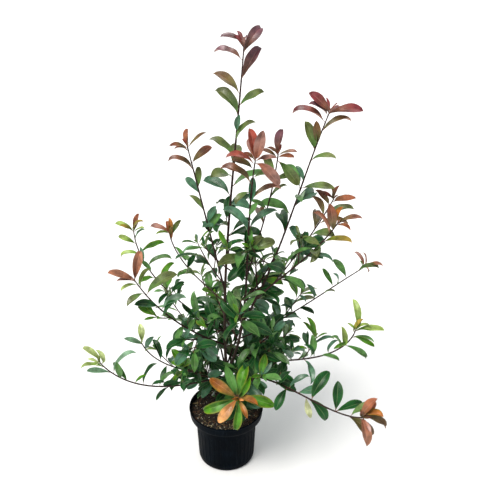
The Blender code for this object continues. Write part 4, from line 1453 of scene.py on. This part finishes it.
# Sizes are in metres, and the widths and heights are shares of each copy's size
Litter = namedtuple("Litter", "name count sizes widths heights colours seed")
LITTER = (
    Litter("bark_crumbs", 1100, (0.0018, 0.0062), (0.5, 0.9), (0.25, 0.6),
           ("chip_dark", "chip_brown", "chip_red"), 3),
    Litter("straws", 170, (0.004, 0.015), (0.05, 0.12), (0.03, 0.08), ("straw",), 4),
    Litter("flakes", 190, (0.0018, 0.0040), (0.6, 1.0), (0.2, 0.4), ("flake",), 5),
)
LITTER_REACH = 0.95
LITTER_SUNK = 0.3
LEAN_DRAW = 0.5
LEAN_SHARES = (0.5, 0.3)
CRUMB_BEVEL = 0.16
CRUMB_ROUGHNESS = 0.12
COMPOST_CELLS = 90
COMPOST_LUMPS = (320.0, 6.0, 0.7)
COMPOST_ROUGHNESS = (0.95, 0.75)
COMPOST_BUMP = (0.9, 0.0015)
WALL_CUT = 0.995
WALL_SNAP = 0.97
SHOULDER_DROP = 0.030
SHOULDER_SHRINK = 0.80
FOOT_SHRINK = 0.83
MOUND_DROP = 0.0030
TOP_SINK = 0.0012
CALM_MIDDLE = 8
# The layer of the noise, its fineness and its height in metres
COARSE_LUMPS = (0, 60, 0.0028)
FINE_LUMPS = (3, 190, 0.0016)


def lump(x, y, layer, fineness, height):
    return noise.noise(Vector((x, y, layer)) * fineness) * height


def compost_height(x, y, top, edge):
    """The top's height at a place: a low mound, sunk towards the wall, and lumpy."""
    out = hypot(x, y) / edge
    lumps = lump(x, y, *COARSE_LUMPS) + lump(x, y, *FINE_LUMPS)
    return top - MOUND_DROP * out**2 + lumps * min(1, CALM_MIDDLE * out) - TOP_SINK


def ring_down(depth, ratio):
    bpy.ops.mesh.extrude_edges_move(TRANSFORM_OT_translate={"value": (0, 0, -depth)})
    bpy.ops.transform.resize(value=(ratio, ratio, 1))


def make_compost():
    low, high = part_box("soil")
    edge = high.x
    deselect_all()
    bpy.ops.mesh.primitive_grid_add(
        x_subdivisions=COMPOST_CELLS, y_subdivisions=COMPOST_CELLS, size=2 * edge, location=(0, 0, high.z)
    )
    piece = bpy.context.active_object
    bpy.ops.object.transform_apply(location=True)
    piece.name = "compost"
    bpy.ops.object.mode_set(mode="EDIT")
    select_where(piece, lambda place: hypot(place.x, place.y) > edge * WALL_CUT)
    bpy.ops.mesh.delete(type="VERT")
    bpy.ops.mesh.select_mode(type="VERT")
    bpy.ops.mesh.select_all(action="DESELECT")
    bpy.ops.mesh.select_non_manifold()
    ring_down(SHOULDER_DROP, SHOULDER_SHRINK)
    ring_down(high.z - low.z - SHOULDER_DROP, FOOT_SHRINK)
    bpy.ops.mesh.edge_face_add()
    bpy.ops.mesh.select_all(action="SELECT")
    bpy.ops.mesh.normals_make_consistent(inside=False)
    bpy.ops.object.mode_set(mode="OBJECT")
    for vert in piece.data.vertices:
        if vert.co.z > high.z - SAME_PLACE:
            x, y, _ = vert.co
            reach = hypot(x, y)
            if reach > edge * WALL_SNAP:
                vert.co.x, vert.co.y = x * edge / reach, y * edge / reach
            vert.co.z = compost_height(x, y, high.z, edge)
    group = crumbly_group()
    piece.data.materials.append(compost_material(group, "compost"))
    smooth(piece, COMPOST_UNDER)
    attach(piece, "root")
    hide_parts("soil")
    crumb = model_crumb()
    for litter in LITTER:
        piece = scatter(litter, crumb, group, high.z, edge)
        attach(piece, "root")


def crumbly_group():
    """The mottling, the roughness and the lumps of compost, bark chips and straw."""
    inputs = {"Dark": "NodeSocketColor", "Pale": "NodeSocketColor"}
    outputs = {"Color": "NodeSocketColor", "Height": "NodeSocketFloat", "Roughness": "NodeSocketFloat"}
    tree, given, result = new_group("crumbly", inputs, outputs)
    lumps = noise_node(tree, object_place(tree), *COMPOST_LUMPS)
    mottling = ramp_between(tree, lumps, 0.35, 0.7)
    colour = mix_colour(tree, mottling, given.outputs["Dark"], given.outputs["Pale"])
    tree.links.new(colour, result.inputs["Color"])
    tree.links.new(lumps, result.inputs["Height"])
    roughness = ramp_between(tree, lumps, *NOISE_RANGE, *COMPOST_ROUGHNESS)
    tree.links.new(roughness, result.inputs["Roughness"])
    return tree


def compost_material(group, name):
    dark, pale = COMPOST_COLOURS[name]
    return patterned(name, group, {"Dark": dark, "Pale": pale}, COMPOST_BUMP)


def model_crumb():
    """One rough chip of bark, a unit across."""
    deselect_all()
    bpy.ops.mesh.primitive_cube_add(size=1)
    piece = bpy.context.active_object
    bpy.ops.object.mode_set(mode="EDIT")
    bpy.ops.mesh.select_all(action="SELECT")
    bpy.ops.mesh.bevel(offset=CRUMB_BEVEL, segments=1)
    bpy.ops.transform.vertex_random(offset=CRUMB_ROUGHNESS, seed=7)
    bpy.ops.object.mode_set(mode="OBJECT")
    return read_shape(piece)


def scatter(litter, shape, group, top, edge):
    """Lays many small copies on the compost, each turned and stretched its own way."""
    draw = random.Random(litter.seed)
    materials = [compost_material(group, colour) for colour in litter.colours]
    raised, lowered = LEAN_SHARES
    parts = []
    for _ in range(litter.count):
        reach, angle = edge * LITTER_REACH * draw.random() ** 0.5, draw.uniform(0, tau)
        x, y = reach * cos(angle), reach * sin(angle)
        size = draw.uniform(*litter.sizes)
        wide, tall = size * draw.uniform(*litter.widths), size * draw.uniform(*litter.heights)
        spin, lean, tip = draw.uniform(0, tau), either_way(draw, LEAN_DRAW), either_way(draw, LEAN_DRAW)
        c, s = cos(spin), sin(spin)
        turned = np.array(
            [[c, s, lean * raised], [-s, c, tip * raised], [-lean * lowered, -tip * lowered, 1]]
        )
        z = compost_height(x, y, top, edge) + tall * LITTER_SUNK
        places = shape.corners * (size, wide, tall) @ turned + (x, y, z)
        parts.append((places, shape, [draw.randrange(len(materials))]))
    return joined_piece(litter.name, parts, materials)


# Stage, light and camera

AMBIENT = 0.58
SKY_TINT = (0.95, 0.98, 1.0)
LIT_HEIGHT = 0.6
FLOOR_SIZE = 40.0
FLOOR_SHADE = (0.90, 0.90, 0.90)
FLOOR_ROUGHNESS = 0.9


def make_stage():
    deselect_all()
    bpy.ops.mesh.primitive_plane_add(size=FLOOR_SIZE, location=(0, 0, 0))
    floor = bpy.context.active_object
    floor.name = "floor"
    made, _, shader = new_material("floor")
    shader.inputs["Base Color"].default_value = (*FLOOR_SHADE, 1)
    shader.inputs["Roughness"].default_value = FLOOR_ROUGHNESS
    floor.data.materials.append(made)


def add_light(name, kind, place, power, spread, colour):
    """A lamp that looks at the crown. spread is a sun's angle in degrees or an area's width."""
    deselect_all()
    bpy.ops.object.light_add(type=kind, location=place)
    light = bpy.context.active_object
    light.name = name
    light.data.energy = power
    light.data.color = colour
    if kind == "SUN":
        light.data.angle = radians(spread)
    else:
        light.data.shape = "DISK"
        light.data.size = spread
    beam = Vector((0, 0, LIT_HEIGHT)) - Vector(place)
    light.rotation_euler = beam.to_track_quat("-Z", "Y").to_euler()


def light_and_look():
    scene = bpy.context.scene
    world = scene.world or bpy.data.worlds.new("studio")
    scene.world = world
    world.use_nodes = True
    backdrop = world.node_tree.nodes["Background"]
    seen = world.node_tree.nodes.new("ShaderNodeLightPath").outputs["Is Camera Ray"]
    sky = mix_colour(world.node_tree, seen, SKY_TINT, (1.0, 1.0, 1.0))
    world.node_tree.links.new(sky, backdrop.inputs["Color"])
    strength = ramp_between(world.node_tree, seen, 0.0, 1.0, AMBIENT, 1.0)
    world.node_tree.links.new(strength, backdrop.inputs["Strength"])
    add_light("key", "SUN", place=(-1.3, -1.6, 4.2), power=3.3, spread=30, colour=(1, 0.97, 0.93))
    add_light("back", "AREA", place=(0.8, 2.6, 2.8), power=22, spread=2.0, colour=(1, 1, 1))
    bpy.ops.object.camera_add(location=CAMERA_PLACE, rotation=(radians(90 - CAMERA_DOWN), 0, 0))
    scene.camera = bpy.context.active_object
    scene.camera.data.lens = CAMERA_LENS
    scene.view_settings.view_transform = "Standard"


trunk, strands, leaves = read_plant()
leaves = as_shown(leaves, strands)
sprigs, small_leaves = sprigs_of(leaves)
leaves, small_leaves = opened(leaves, strands), opened(small_leaves, strands)
sprigs = [sprigs[name] for name in dict.fromkeys(borne.stem for borne in small_leaves)]
make_leaves(leaves, strands, small_leaves)
make_wood(trunk, strands + sprigs, leaves)
make_pot()
make_compost()
make_stage()
light_and_look()
